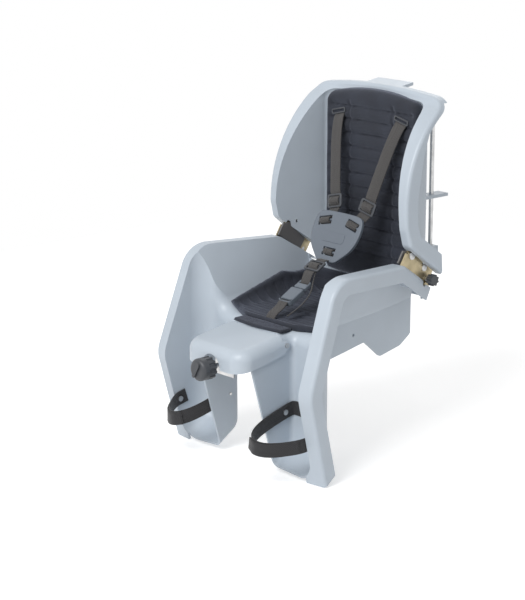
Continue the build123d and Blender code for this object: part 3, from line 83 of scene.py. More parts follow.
# Floor and light, in metres and watts; a lamp has a name, a place, a size and a power
FLOOR_HALF = 1.5
FLOOR_DROP = 0.001
FLOOR_GLOW = 0.42
WORLD_LIGHT = 0.45
LAMP_TARGET = (0, 0, 0.15)
LAMPS = (
    ("key", (0.6, -2.4, 2.3), 1.6, 72.0),
    ("fill", (2.6, 0.2, 1.2), 1.8, 3.0),
    ("rear", (-1.2, 1.8, 1.8), 1.6, 10.0),
)

# Colours, linear
SHELL = (0.49, 0.55, 0.615)
DARK = (0.05, 0.054, 0.062)
GUARD = (0.165, 0.16, 0.16)
HARNESS = (0.15, 0.175, 0.21)
GLIDE = (0.06, 0.065, 0.075)
ZINC_GOLD = (0.47, 0.40, 0.26)
STEEL = (0.62, 0.62, 0.62)
PAD = (0.017, 0.020, 0.030)
PAD_SHEEN = (0.55, 0.6, 0.75)
WEBBING = (0.052, 0.049, 0.048)
FOOT_WEBBING = (0.014, 0.014, 0.016)
WHITE = (0.93, 0.93, 0.93)

# Surfaces: where a tint starts and ends, the grain of dark mouldings, the weave of pads and webbing
TINT_START = 0.3
TINT_END = 0.7
DARK_GRAIN = 1100.0
THREAD_SCALE = 260.0
THREAD_DISTORTION = 1.5
TWILL_PITCH = 0.0036

# Mesh fineness
RUN_ROUNDS = 4
OUTLINE_ROUNDS = 3
CORNER_CUT = 0.25
ARC_STEPS = 6
ARC_REACH = 0.49
EDGE_STEPS = 3
WELD = 1e-6
STRAP_STEP = 2.5

# Pan, repeated from the part
PAN_TOP = 52.0
PAN_FRONT_HALF = 114.0
PAN_REAR_HALF = 108.0
PAN_REAR_Y = 95.0
CALF_Y = -100.0
PAN_FRONT_CORNER = 20.0
PAN_REAR_CORNER = 42.0
PAN_FAR_Y = -400.0
RIM_INNER_MIDDLE = 138.4
RIM_FLARE = 0.1188
ARM_TOP = 151.0
PAD_GAP = 0.4
LINING_START = 40.0
LINING_STEP = 0.5
LINING_REACH = 200.0

# Stitching and cloth pressure
STITCH_SIZE = 7.0
SWELL_NOISE_AT = 40.0
SWELL_CAP = 2.0
SWELL_PRESSURE = 4.0
SWELL_FRAMES = 20

# Back pad; a grid is rows and columns
BACK_GRID = (126, 84)
BACK_CHANNEL_PITCH = 22.0
BACK_CHANNELS = 12
BACK_CHANNEL_MIDDLE = 252.0
BACK_CHANNEL_HALF = 94.0
BACK_FADE_INSIDE = 4.0
BACK_FADE_OUTSIDE = 5.0
BACK_VALLEY = 8.0
BACK_PULL = 1.0
BACK_SEAM_X = 50.0
BACK_SEAM_HALF = 4.0
BACK_SEAM = 3.5
BACK_SWELL = 0.8
BACK_SWELL_SIZE = 45.0
BACK_ROLL = 11.0
BACK_CORNER = 16.0
BACK_SIDE_TOP = 391.0
BACK_HELD_DEPTH = 3.0

# Seat pad
SEAT_GRID = (100, 96)
SEAT_CHANNEL_PITCH = 20.0
SEAT_CHANNEL_START = -73.0
SEAT_FADE_NEAR = 6.0
SEAT_FADE_FAR = 16.0
SEAT_VALLEY = 3.4
SEAT_PULL = 0.6
SEAT_SWELL = 0.7
SEAT_SWELL_SIZE = 40.0
SEAT_ROLL = 7.0
SEAT_HELD_DEPTH = 1.6
SEAT_PAD_THICKNESS = 9.0
SEAT_PAD_EDGE = ((-106.0, 62.0), (-84.0, 64.0), (-28.0, 79.0), (34.0, 96.0), (60.0, 91.0), (94.5, 92.0))
SEAT_PAD_FRONT_HALF = 46.0
SEAT_PAD_SIDE = (98.0, -84.0)
SEAT_PAD_BULGE = 0.4

# Turned-up rear end of the seat pad
REAR_PANEL_GRID = (40, 80)
REAR_PANEL_Y = 94.4
REAR_PANEL_LOW = 61.0
REAR_PANEL_TOP = 99.0
REAR_PANEL_THICKNESS = 6.0
REAR_PANEL_MARGIN = 3.0
REAR_PANEL_VALLEY = 2.0
REAR_PANEL_PULL = 0.5
REAR_PANEL_NOISE_AT = 70.0
REAR_PANEL_ROLL = 5.0

# Flap under the seat pad's front edge
FLAP_GRID = (16, 60)
FLAP_HALF = 57.0
FLAP_SHORTER = 13.0
FLAP_BOW = 0.22
FLAP_ROLL = 3.5
FLAP_PULL = 0.4
FLAP_PULL_SIZE = 14.0
FLAP_NOISE_AT = 3.0

# Webbing: its section's raised edges, as shares of the lip and of the depth
STRAP_WIDTH = 23.0
LINK_WIDTH = 20.0
STRAP_THICKNESS = 2.2
WEB_LIP = 0.9
WEB_TURN = 0.3
WEB_TURN_DEPTH = 0.75
WEB_MIDDLE_DEPTH = 0.94

# Shoulder straps
SHOULDER = (72.0, 363.0)
SHOULDER_LEAN = 0.24
SHOULDER_START_Y = 142.0
SHOULDER_EXIT_Y = 112.0
SHOULDER_BEND = (76.0, 217.0)
SHOULDER_GLIDE_UP = 5.0

# Sewn lips of the shoulder straps' slots: width, height and corner radius of the edge and of the hole
LIP_EDGE = (32, 9, 3.0)
LIP_HOLE = (26.5, 4.2, 1.0)
LIP_Y = 116.6
LIP_THICKNESS = 2.6
LIP_ROUND = 0.8

# Tri-glides: the path of webbing is a distance along and a lift, from an end to the middle bar
GLIDE_WIDTH = 34.0
GLIDE_LENGTH = 23.0
GLIDE_CORNER = 4.0
GLIDE_THICKNESS = 3.6
GLIDE_ROUND = 0.9
GLIDE_SLOT_ROOM = 1.6
GLIDE_SLOT_HEIGHT = 5.6
GLIDE_SLOT_CORNER = 1.2
GLIDE_SLOT_AT = 5.4
GLIDE_PATH = ((16, 0.0), (11, -2.4), (7.5, -2.4), (3.6, 3.2))
GLIDE_PATH_LIFT = 3.6

# Chest plate; a wrap is a height on the plate and a distance in front of it
CHEST_CENTRE = (42.0, 175.0)
CHEST_LEAN = 27.0
CHEST_THICKNESS = 6.0
CHEST_ROUND = 1.4
CHEST_EDGE = (
    (0, 38.5), (34, 38.0), (51, 34.0), (55.5, 8.0), (48.0, -20.0), (29.0, -38.0), (19.0, -47.0), (0, -45.0),
)
CHEST_SLOTS_UP = (25.0, 16.5)
CHEST_SLOTS_DOWN = (-24.8, -33.2)
CHEST_SLOT_UP = (28, 5.4, 1.0)
CHEST_SLOT_DOWN = (28, 4.6, 1.0)
CHEST_PANEL = (50, 17, 5.0)
CHEST_PANEL_AT = (0, -5.0)
CHEST_PANEL_OUT = 3.0
CHEST_PANEL_THICKNESS = 1.6
CHEST_PANEL_ROUND = 0.6
SHOULDER_WRAP = ((25.0, -4.4), (25.0, 3.0), (23.2, 4.6), (18.3, 4.6), (16.5, 3.0), (16.5, -5.0))
LINK_TOP = (-42, -5.5)
LINK_WRAP = (
    (-24.8, -5.0), (-24.8, 3.0), (-26.8, 4.6), (-31.2, 4.6), (-33.2, 3.0), (-33.4, -4.6), LINK_TOP,
)

# Link strap, its loose end, buckle and crotch strap; a slot is a width, a height and a corner radius
ADJUSTER = (-3.0, 131.0)
TAIL_RUN = ((4, -2, 128), (5, -11, 110), (18, -28, 93), (22, -52, 78), (29, -84, 70))
TAIL_ACROSS = (-0.72, 0.64, -0.25)
TAIL_WIDTH = 17.0
TAIL_THICKNESS = 1.8
BUCKLE_TOP = (-25.0, 104.0)
BUCKLE_LOW = (-64.0, 83.0)
BUCKLE_FEMALE = ((-14, 17), (14, 17), (13, -19), (-13, -19))
BUCKLE_FEMALE_CORNERS = (3.0, 3.0, 5.0, 5.0)
BUCKLE_FEMALE_SLOT = (21.0, 4.4, 1.2)
BUCKLE_FEMALE_SLOT_AT = (0, -14.0)
BUCKLE_FEMALE_DOWN = 32.0
BUCKLE_FEMALE_THICKNESS = 10.0
BUCKLE_FEMALE_ROUND = 2.2
BUCKLE_MALE = ((-12.5, 9), (12.5, 9), (13, -9), (-13, -9))
BUCKLE_MALE_CORNER = 3.0
BUCKLE_MALE_SLOT = (20.4, 4.0, 1.2)
BUCKLE_MALE_SLOT_AT = (0, 4.0)
BUCKLE_MALE_DOWN = 4.0
BUCKLE_MALE_THICKNESS = 7.0
BUCKLE_MALE_ROUND = 1.6
CROTCH = (-101.0, 65.0)
CROTCH_END_Z = 40
CROTCH_BAR_DOWN = 48.5
CROTCH_WRAP = ((3.0, -3.0), (2.0, 3.0), (-4.0, 3.4), (-12.0, 0.0))

# Foot straps; a run is places (x, y) on the strap's sloping plane
FOOT_STRAP_AT = (68.0, -106.0, -66.6)
FOOT_STRAP_RISE = (-0.156, 0.29)
FOOT_STRAP_THICKNESS = 2.6
FOOT_INNER_X = 67.9
FOOT_FRONT_Y = -221.0
FOOT_RUN = (
    (FOOT_INNER_X + 24, -108.8),
    (FOOT_INNER_X + 6, -111.2),
    (FOOT_INNER_X, -114.5),
    (FOOT_INNER_X, FOOT_FRONT_Y + 40),
    (FOOT_INNER_X + 12, FOOT_FRONT_Y + 8),
    (FOOT_INNER_X + 34, FOOT_FRONT_Y),
    (FOOT_INNER_X + 60, FOOT_FRONT_Y + 14),
    (157.3, -170),
    (154.7, -147),
)
FOOT_LAP_RUN = (
    (FOOT_INNER_X + 14, FOOT_FRONT_Y + 4.5),
    (FOOT_INNER_X + 34, FOOT_FRONT_Y - 3.0),
    (FOOT_INNER_X + 61, FOOT_FRONT_Y + 11.5),
    (152.5, -176.5),
)
FOOT_LAP_NARROWER = 2
FOOT_LAP_THICKNESS = 2.2


# Materials

def new_material(name):
    """Empty node material with a principled shader, its nodes and its links."""
    material = bpy.data.materials.new(name)
    material.use_nodes = True
    nodes = material.node_tree.nodes
    return material, nodes, material.node_tree.links, nodes["Principled BSDF"]


def object_noise(nodes, links, scale, detail=3.0):
    """Noise laid through the object's own space."""
    place = nodes.new("ShaderNodeTexCoord")
    texture = nodes.new("ShaderNodeTexNoise")
    texture.inputs["Scale"].default_value = scale
    texture.inputs["Detail"].default_value = detail
    links.new(place.outputs["Object"], texture.inputs["Vector"])
    return texture.outputs["Fac"]


def between(nodes, links, factor, low, high, start=0.0):
    """Factor mapped from its own range, which ends at 1, to another."""
    span = nodes.new("ShaderNodeMapRange")
    span.inputs["From Min"].default_value = start
    span.inputs["To Min"].default_value = low
    span.inputs["To Max"].default_value = high
    links.new(factor, span.inputs["Value"])
    return span.outputs["Result"]


def computed(nodes, links, operation, *feeds):
    """Result of a math node fed by sockets or plain numbers."""
    step = nodes.new("ShaderNodeMath")
    step.operation = operation
    for socket, feed in zip(step.inputs, feeds):
        if isinstance(feed, float):
            socket.default_value = feed
        else:
            links.new(feed, socket)
    return step.outputs["Value"]


def tint(nodes, links, factor, dark, light):
    """Colour that runs between two tints."""
    ramp = nodes.new("ShaderNodeValToRGB")
    ends = ramp.color_ramp.elements
    for end, position, colour in zip(ends, (TINT_START, TINT_END), (dark, light)):
        end.position = position
        end.color = (*colour, 1)
    links.new(factor, ramp.inputs["Fac"])
    return ramp.outputs["Color"]


def shade(colour, amount):
    """Colour made darker or lighter by a share."""
    return tuple(channel * amount for channel in colour)


def relief(nodes, links, height, shader, distance, strength):
    """Bump from a height."""
    bump = nodes.new("ShaderNodeBump")
    bump.inputs["Distance"].default_value = distance
    bump.inputs["Strength"].default_value = strength
    links.new(height, bump.inputs["Height"])
    links.new(bump.outputs["Normal"], shader.inputs["Normal"])


def moulded(name, colour, roughness, grain):
    """Moulded plastic: a fine spark grain, faint flow marks in the colour and an uneven gloss."""
    material, nodes, links, shader = new_material(name)
    flow = object_noise(nodes, links, scale=9.0)
    marks = tint(nodes, links, flow, dark=shade(colour, 0.95), light=shade(colour, 1.04))
    links.new(marks, shader.inputs["Base Color"])
    gloss = object_noise(nodes, links, scale=60.0)
    uneven = between(nodes, links, gloss, low=roughness - 0.05, high=roughness + 0.06)
    links.new(uneven, shader.inputs["Roughness"])
    spark = object_noise(nodes, links, scale=grain, detail=2.0)
    relief(nodes, links, spark, shader, distance=0.0002, strength=0.25)
    return material


def plated(name, colour, roughness):
    """Plated steel: rolling streaks in the gloss and a patchy plating colour."""
    material, nodes, links, shader = new_material(name)
    patch = object_noise(nodes, links, scale=70.0, detail=5.0)
    plating = tint(nodes, links, patch, dark=shade(colour, 0.78), light=shade(colour, 1.12))
    links.new(plating, shader.inputs["Base Color"])
    shader.inputs["Metallic"].default_value = 1.0
    streak = object_noise(nodes, links, scale=220.0)
    rolled_gloss = between(nodes, links, streak, low=roughness - 0.08, high=roughness + 0.12)
    links.new(rolled_gloss, shader.inputs["Roughness"])
    relief(nodes, links, streak, shader, distance=0.0001, strength=0.2)
    return material


def pad_cloth(name, colour):
    """Woven pad cloth: crossed threads in the bump, a soft sheen and slightly worn crowns."""
    material, nodes, links, shader = new_material(name)
    place = nodes.new("ShaderNodeTexCoord")
    threads = []
    for turn in (0, 90):
        lay = nodes.new("ShaderNodeMapping")
        lay.inputs["Rotation"].default_value = (math.radians(turn), math.radians(turn), math.radians(turn))
        links.new(place.outputs["Object"], lay.inputs["Vector"])
        wave = nodes.new("ShaderNodeTexWave")
        wave.inputs["Scale"].default_value = THREAD_SCALE
        wave.inputs["Distortion"].default_value = THREAD_DISTORTION
        links.new(lay.outputs["Vector"], wave.inputs["Vector"])
        threads.append(wave.outputs["Fac"])
    weave = computed(nodes, links, "MULTIPLY", *threads)
    wear = object_noise(nodes, links, scale=22.0, detail=4.0)
    worn = tint(nodes, links, wear, dark=shade(colour, 0.8), light=shade(colour, 1.35))
    links.new(worn, shader.inputs["Base Color"])
    shader.inputs["Roughness"].default_value = 0.85
    shader.inputs["Sheen Weight"].default_value = 0.35
    shader.inputs["Sheen Roughness"].default_value = 0.45
    shader.inputs["Sheen Tint"].default_value = (*PAD_SHEEN, 1)
    relief(nodes, links, weave, shader, distance=0.0004, strength=0.5)
    return material


def webbing_cloth(name, colour):
    """Woven webbing: a herringbone along the band, read from the band's own map of width and length."""
    material, nodes, links, shader = new_material(name)
    place = nodes.new("ShaderNodeUVMap")
    place.uv_map = "band"
    split = nodes.new("ShaderNodeSeparateXYZ")
    links.new(place.outputs["UV"], split.inputs["Vector"])
    fold = computed(nodes, links, "ABSOLUTE", split.outputs["X"])
    run = computed(nodes, links, "ADD", fold, split.outputs["Y"])
    turn = computed(nodes, links, "MULTIPLY", run, 2 * math.pi / TWILL_PITCH)
    wave = computed(nodes, links, "SINE", turn)
    twill = between(nodes, links, wave, low=0.0, high=1.0, start=-1.0)
    woven = tint(nodes, links, twill, dark=shade(colour, 0.6), light=shade(colour, 1.5))
    links.new(woven, shader.inputs["Base Color"])
    shader.inputs["Roughness"].default_value = 0.75
    shader.inputs["Sheen Weight"].default_value = 0.2
    relief(nodes, links, twill, shader, distance=0.0005, strength=0.6)
    return material


shell_plastic = moulded("shell_plastic", SHELL, roughness=0.38, grain=900.0)
dark_plastic = moulded("dark_plastic", DARK, roughness=0.42, grain=DARK_GRAIN)
guard_plastic = moulded("guard_plastic", GUARD, roughness=0.5, grain=DARK_GRAIN)
harness_plastic = moulded("harness_plastic", HARNESS, roughness=0.45, grain=DARK_GRAIN)
glide_plastic = moulded("glide_plastic", GLIDE, roughness=0.4, grain=DARK_GRAIN)
gold_steel = plated("gold_steel", ZINC_GOLD, roughness=0.36)
bright_steel = plated("bright_steel", STEEL, roughness=0.3)
pad_fabric = pad_cloth("pad_fabric", PAD)
strap_webbing = webbing_cloth("strap_webbing", WEBBING)
foot_webbing = webbing_cloth("foot_webbing", FOOT_WEBBING)

SLOT_MATERIAL = {
    "shell_grey": shell_plastic,
    "dark_plastic": dark_plastic,
    "strap_plastic": harness_plastic,
    "zinc_gold": gold_steel,
    "steel": bright_steel,
    "pad_fabric": pad_fabric,
    "webbing": strap_webbing,
    "foot_webbing": foot_webbing,
}

for entry in frame["record"]["subparts"]:
    node = frame["nodes"][entry["node"]]
    node.data.materials.clear()
    node.data.materials.append(SLOT_MATERIAL[entry["material_slot"]])

for name in ("hinge_guard_left", "hinge_guard_right"):
    frame["nodes"][name].data.materials[0] = guard_plastic


# Mesh helpers

def finish_piece(mesh, name, material):
    """Object made from a bmesh, shaded smooth and given its material."""
    bmesh.ops.recalc_face_normals(mesh, faces=mesh.faces)
    data = bpy.data.meshes.new(name)
    mesh.to_mesh(data)
    mesh.free()
    data.materials.append(material)
    for face in data.polygons:
        face.use_smooth = True
    piece = bpy.data.objects.new(name, data)
    bpy.context.scene.collection.objects.link(piece)
    return piece


def bridge_rows(mesh, rows, closed):
    """Quads between rows of vertices."""
    for row, following in zip(rows, rows[1:]):
        count = len(row)
        for index in range(count if closed else count - 1):
            after = (index + 1) % count
            mesh.faces.new((row[index], row[after], following[after], following[index]))


def cut_corners(points):
    """Two points on each stretch of a run, so that its corners are cut."""
    cut = []
    for first, second in zip(points, points[1:]):
        cut.append(first.lerp(second, CORNER_CUT))
        cut.append(first.lerp(second, 1 - CORNER_CUT))
    return cut


def rounded_run(points):
    """Run through points with its corners cut round, ends kept."""
    run = [Vector(point) for point in points]
    for _ in range(RUN_ROUNDS):
        run = [run[0], *cut_corners(run), run[-1]]
    return run


def even_run(points, step):
    """Points at an even step along a run."""
    lengths = [0.0]
    for first, second in zip(points, points[1:]):
        lengths.append(lengths[-1] + (second - first).length)
    count = max(2, round(lengths[-1] / step))
    even = []
    index = 0
    for number in range(count + 1):
        want = lengths[-1] * number / count
        while index < len(points) - 2 and lengths[index + 1] < want:
            index += 1
        span = lengths[index + 1] - lengths[index]
        even.append(points[index].lerp(points[index + 1], (want - lengths[index]) / span if span else 0.0))
    return even


def band_section(half, deep):
    """Closed section of webbing, whose woven edges stand up a little and turn round."""
    lip = WEB_LIP * MM
    right = [
        (half / 3, deep * WEB_MIDDLE_DEPTH),
        (half - lip, deep),
        (half - WEB_TURN * lip, deep * WEB_TURN_DEPTH),
    ]
    upper = [(-u, w) for u, w in reversed(right)] + right
    lower = [(u, -w) for u, w in reversed(upper)]
    return [(-half, 0.0), *upper, (half, 0.0), *lower]


def band(name, points, across, width, thickness, material):
    """Webbing laid along a run of points in millimetres, with woven rounded edges and its own map."""
    run = even_run(rounded_run([Vector(point) * MM for point in points]), STRAP_STEP * MM)
    across = Vector(across).normalized()
    section = band_section(width * MM / 2, thickness * MM / 2)
    mesh = bmesh.new()
    rows = []
    place = {}
    travelled = 0.0
    for index, point in enumerate(run):
        before = run[max(index - 1, 0)]
        after = run[min(index + 1, len(run) - 1)]
        along = (after - before).normalized()
        side = (across - along * across.dot(along)).normalized()
        out = along.cross(side)
        row = [mesh.verts.new(point + side * u + out * w) for u, w in section]
        for vertex, (u, _) in zip(row, section):
            place[vertex] = (u, travelled)
        rows.append(row)
        travelled += (after - point).length
    bridge_rows(mesh, rows, closed=True)
    mesh.faces.new(rows[0])
    mesh.faces.new(rows[-1])
    layer = mesh.loops.layers.uv.new("band")
    for face in mesh.faces:
        for loop in face.loops:
            loop[layer].uv = place[loop.vert]
    return finish_piece(mesh, name, material)


def outline_plate(name, outlines, origin, right, up, thickness, edge, material):
    """Plate with rounded edges cut from closed outlines: the first is its edge, the others are holes."""
    curve = bpy.data.curves.new(name + "_outline", "CURVE")
    curve.dimensions = "2D"
    curve.fill_mode = "BOTH"
    curve.extrude = thickness * MM / 2 - edge * MM
    curve.bevel_depth = edge * MM
    curve.bevel_resolution = EDGE_STEPS
    curve.offset = -edge * MM
    for outline in outlines:
        spline = curve.splines.new("POLY")
        spline.points.add(len(outline) - 1)
        for point, (x, y) in zip(spline.points, outline):
            point.co = (x * MM, y * MM, 0, 1)
        spline.use_cyclic_u = True
    holder = bpy.data.objects.new(name + "_outline", curve)
    bpy.context.scene.collection.objects.link(holder)
    bpy.context.view_layer.update()
    solid = bpy.data.meshes.new_from_object(holder.evaluated_get(bpy.context.evaluated_depsgraph_get()))
    bpy.data.objects.remove(holder)
    right = Vector(right).normalized()
    up = Vector(up).normalized()
    turn = Matrix((right, up, right.cross(up))).transposed().to_4x4()
    solid.transform(Matrix.Translation(Vector(origin) * MM) @ turn)
    mesh = bmesh.new()
    mesh.from_mesh(solid)
    bpy.data.meshes.remove(solid)
    bmesh.ops.remove_doubles(mesh, verts=mesh.verts, dist=WELD)
    piece = finish_piece(mesh, name, material)
    piece.modifiers.new("edges", "WEIGHTED_NORMAL")
    return piece


def rounded_outline(corners, radii):
    """Closed outline through corners, each cut by an arc of its own radius or of one radius for all."""
    outline = []
    count = len(corners)
    for index in range(count):
        corner = Vector(corners[index])
        before = Vector(corners[index - 1]) - corner
        after = Vector(corners[(index + 1) % count]) - corner
        radius = radii[index] if hasattr(radii, "__len__") else radii
        half_angle = before.angle(after) / 2
        reach = min(radius / math.tan(half_angle), ARC_REACH * before.length, ARC_REACH * after.length)
        radius = reach * math.tan(half_angle)
        start = corner + before.normalized() * reach
        bisector = (before.normalized() + after.normalized()).normalized()
        middle = corner + bisector * radius / math.sin(half_angle)
        first = start - middle
        last = corner + after.normalized() * reach - middle
        for number in range(ARC_STEPS + 1):
            spoke = first.lerp(last, number / ARC_STEPS).normalized() * radius
            outline.append(tuple(middle + spoke))
    return outline


def box_outline(width, height, radius, centre=(0.0, 0.0), turn=0.0):
    """Rounded rectangle, turned about its centre by degrees."""
    x, y = width / 2, height / 2
    spin = Matrix.Rotation(math.radians(turn), 2)
    corners = [spin @ Vector(corner) + Vector(centre) for corner in ((-x, -y), (x, -y), (x, y), (-x, y))]
    return rounded_outline(corners, radius)


def smooth_outline(half):
    """Smooth closed outline from the right half of its control points, mirrored, top to bottom."""
    points = [Vector(point) for point in half]
    points += [Vector((-x, y)) for x, y in reversed(half) if x]
    for _ in range(OUTLINE_ROUNDS):
        points = cut_corners(points + points[:1])
    return [tuple(point) for point in points]


# Quilted pads

def crown(share):
    """Height of a stuffed channel across its width, 0 at its seams and 1 in the middle."""
    return math.sqrt(max(0.0, 1.0 - min(1.0, abs(share)) ** 2))


def valley_at(channel):
    """Depth of the valleys at a place counted in channels, 1 at the seams and 0 on the crowns."""
    return 1.0 - crown(2 * (channel - math.floor(channel)) - 1)


def rolled(distance, radius):
    """Height of a rolled edge at a distance from it, from 0 at the edge to 1."""
    near = 1.0 - min(max(distance, 0.0) / radius, 1.0)
    return math.sqrt(max(0.0, 1.0 - near * near))


def pucker(point, size):
    """Small uneven pull of the stitching."""
    return noise.noise(Vector(point) / size)


def fade(value, full, none):
    """1 up to one value, then down to 0 at another."""
    return min(1.0, max(0.0, (none - value) / (none - full)))


def pad_from_grid(name, grid):
    """Closed pad from rows of pairs, each a point on its face and one on its back, in millimetres."""
    mesh = bmesh.new()
    faces = [[mesh.verts.new(Vector(face) * MM) for face, _ in row] for row in grid]
    backs = []
    for number, row in enumerate(grid):
        back_row = []
        for column, (_, back) in enumerate(row):
            edge = number in (0, len(grid) - 1) or column in (0, len(row) - 1)
            back_row.append(faces[number][column] if edge else mesh.verts.new(Vector(back) * MM))
        backs.append(back_row)
    bridge_rows(mesh, faces, closed=False)
    bridge_rows(mesh, [list(reversed(row)) for row in backs], closed=False)
    return finish_piece(mesh, name, pad_fabric)


def press_between_seams(pad, seams, face_count):
    """Move a pad's face by cloth pressure, with its seams and its back held, and cap each move.

    The seams are vertex numbers, and the back's vertices follow those of the face.
    """
    start = [vertex.co.copy() for vertex in pad.data.vertices]
    held = pad.vertex_groups.new(name="seams")
    held.add([*seams, *range(face_count, len(pad.data.vertices))], 1.0, "REPLACE")
    cloth = pad.modifiers.new("swell", "CLOTH")
    cloth.settings.vertex_group_mass = "seams"
    cloth.settings.use_pressure = True
    cloth.settings.uniform_pressure_force = SWELL_PRESSURE
    cloth.settings.effector_weights.gravity = 0.0
    cloth.point_cache.frame_end = SWELL_FRAMES
    for number in range(1, SWELL_FRAMES + 1):
        bpy.context.scene.frame_set(number)
    graph = bpy.context.evaluated_depsgraph_get()
    shape = pad.evaluated_get(graph).to_mesh()
    places = [vertex.co.copy() for vertex in shape.vertices]
    pad.modifiers.remove(cloth)
    pad.vertex_groups.remove(held)
    for vertex, before, after in zip(pad.data.vertices, start, places):
        move = after - before
        if move.length > SWELL_CAP * MM:
            move *= SWELL_CAP * MM / move.length
        vertex.co = before + move
    bpy.context.scene.frame_set(1)


def back_thickness(x, z, distance, deep):
    """Thickness of the back pad at a place on it."""
    row = (z - BACK_CHANNEL_MIDDLE) / BACK_CHANNEL_PITCH + (BACK_CHANNELS - 1) / 2
    swell = BACK_SWELL * pucker((x, SWELL_NOISE_AT, z), BACK_SWELL_SIZE)
    loss = 0.0
    if -0.5 < row < BACK_CHANNELS - 0.5:
        ends = fade(abs(x), BACK_CHANNEL_HALF - BACK_FADE_INSIDE, BACK_CHANNEL_HALF + BACK_FADE_OUTSIDE)
        valley = valley_at(row) * ends
        seam = max(0.0, 1.0 - abs(abs(x) - BACK_SEAM_X) / BACK_SEAM_HALF) ** 2
        loss = BACK_VALLEY * valley + BACK_SEAM * seam
        loss += BACK_PULL * valley * pucker((x, 0, z), STITCH_SIZE)
    return (deep - loss + swell) * rolled(distance, BACK_ROLL)


def build_back_pad():
    """Back pad: stuffed cross channels between two upright seams, inside a plain rolled border."""
    low, high = (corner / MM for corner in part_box("back_pad"))
    half = high.x
    deep = high.y - low.y
    rows, columns = BACK_GRID
    seams = []
    grid = []
    for row in range(rows + 1):
        grid_row = []
        for column in range(columns + 1):
            x = half * (2 * column / columns - 1)
            top = BACK_SIDE_TOP + (high.z - BACK_SIDE_TOP) * (1 - (x / half) ** 2)
            z = low.z + (top - low.z) * row / rows
            inset_x = half - BACK_CORNER - abs(x)
            inset_z = min(z - low.z, top - z) - BACK_CORNER
            distance = min(half - abs(x), z - low.z, top - z)
            if inset_x < 0 and inset_z < 0:
                reach = math.hypot(inset_x, inset_z)
                widest = max(-inset_x, -inset_z)
                squeeze = widest / reach
                x -= math.copysign((1 - squeeze) * -inset_x, x)
                z += (1 - squeeze) * -inset_z * (1 if z < (low.z + high.z) / 2 else -1)
                distance = BACK_CORNER - widest
            thick = back_thickness(x, z, distance, deep)
            if thick < deep - BACK_HELD_DEPTH:
                seams.append(row * (columns + 1) + column)
            grid_row.append(((x, high.y - thick, z), (x, high.y, z)))
        grid.append(grid_row)
    pad = pad_from_grid("back_pad_quilted", grid)
    press_between_seams(pad, seams, (rows + 1) * (columns + 1))
    return pad


def edge_height(y):
    """Height of the seat pad's upper edge at a place along the seat."""
    for (y0, z0), (y1, z1) in zip(SEAT_PAD_EDGE, SEAT_PAD_EDGE[1:]):
        if y <= y1:
            return z0 + (z1 - z0) * (y - y0) / (y1 - y0)
    return SEAT_PAD_EDGE[-1][1]


def pan_place(y, travel):
    """Point (x, z) and normal on the pan's lining at a travel from its middle along a cross section."""
    forward = (y - PAN_REAR_Y) / (CALF_Y - PAN_REAR_Y)
    half = PAN_REAR_HALF + (PAN_FRONT_HALF - PAN_REAR_HALF) * forward - PAD_GAP
    share = (y - PAN_FAR_Y) / (PAN_REAR_Y - PAN_FAR_Y)
    corner = PAN_FRONT_CORNER + share * (PAN_REAR_CORNER - PAN_FRONT_CORNER) - PAD_GAP
    lean = (RIM_INNER_MIDDLE - RIM_FLARE * y - half) / (ARM_TOP - PAN_TOP)
    turn = math.atan2(1.0, lean)
    floor = PAN_TOP + PAD_GAP
    flat = half - corner * math.tan(turn / 2)
    arc = corner * turn
    if travel <= flat:
        return (travel, floor), (0.0, 1.0)
    if travel <= flat + arc:
        angle = (travel - flat) / corner
        place = (flat + corner * math.sin(angle), floor + corner * (1 - math.cos(angle)))
        return place, (-math.sin(angle), math.cos(angle))
    rest = travel - flat - arc
    place = (
        flat + corner * math.sin(turn) + rest * math.cos(turn),
        floor + corner * (1 - math.cos(turn)) + rest * math.sin(turn),
    )
    return place, (-math.sin(turn), math.cos(turn))


def travel_to(y, height, travel):
    """Travel at which the pan's lining reaches a height, looked for from a first travel outwards."""
    while pan_place(y, travel)[0][1] < height and travel < LINING_REACH:
        travel += LINING_STEP
    return travel


def pad_reach(y):
    """Travel from the middle to the seat pad's side edge."""
    side_travel, side_y = SEAT_PAD_SIDE
    if y < side_y:
        share = (y - SEAT_PAD_EDGE[0][0]) / (side_y - SEAT_PAD_EDGE[0][0])
        bulge = math.sqrt(max(0.0, share))
        widening = (1 - SEAT_PAD_BULGE) * share + SEAT_PAD_BULGE * bulge
        return SEAT_PAD_FRONT_HALF + (side_travel - SEAT_PAD_FRONT_HALF) * widening
    return travel_to(y, edge_height(y), side_travel)


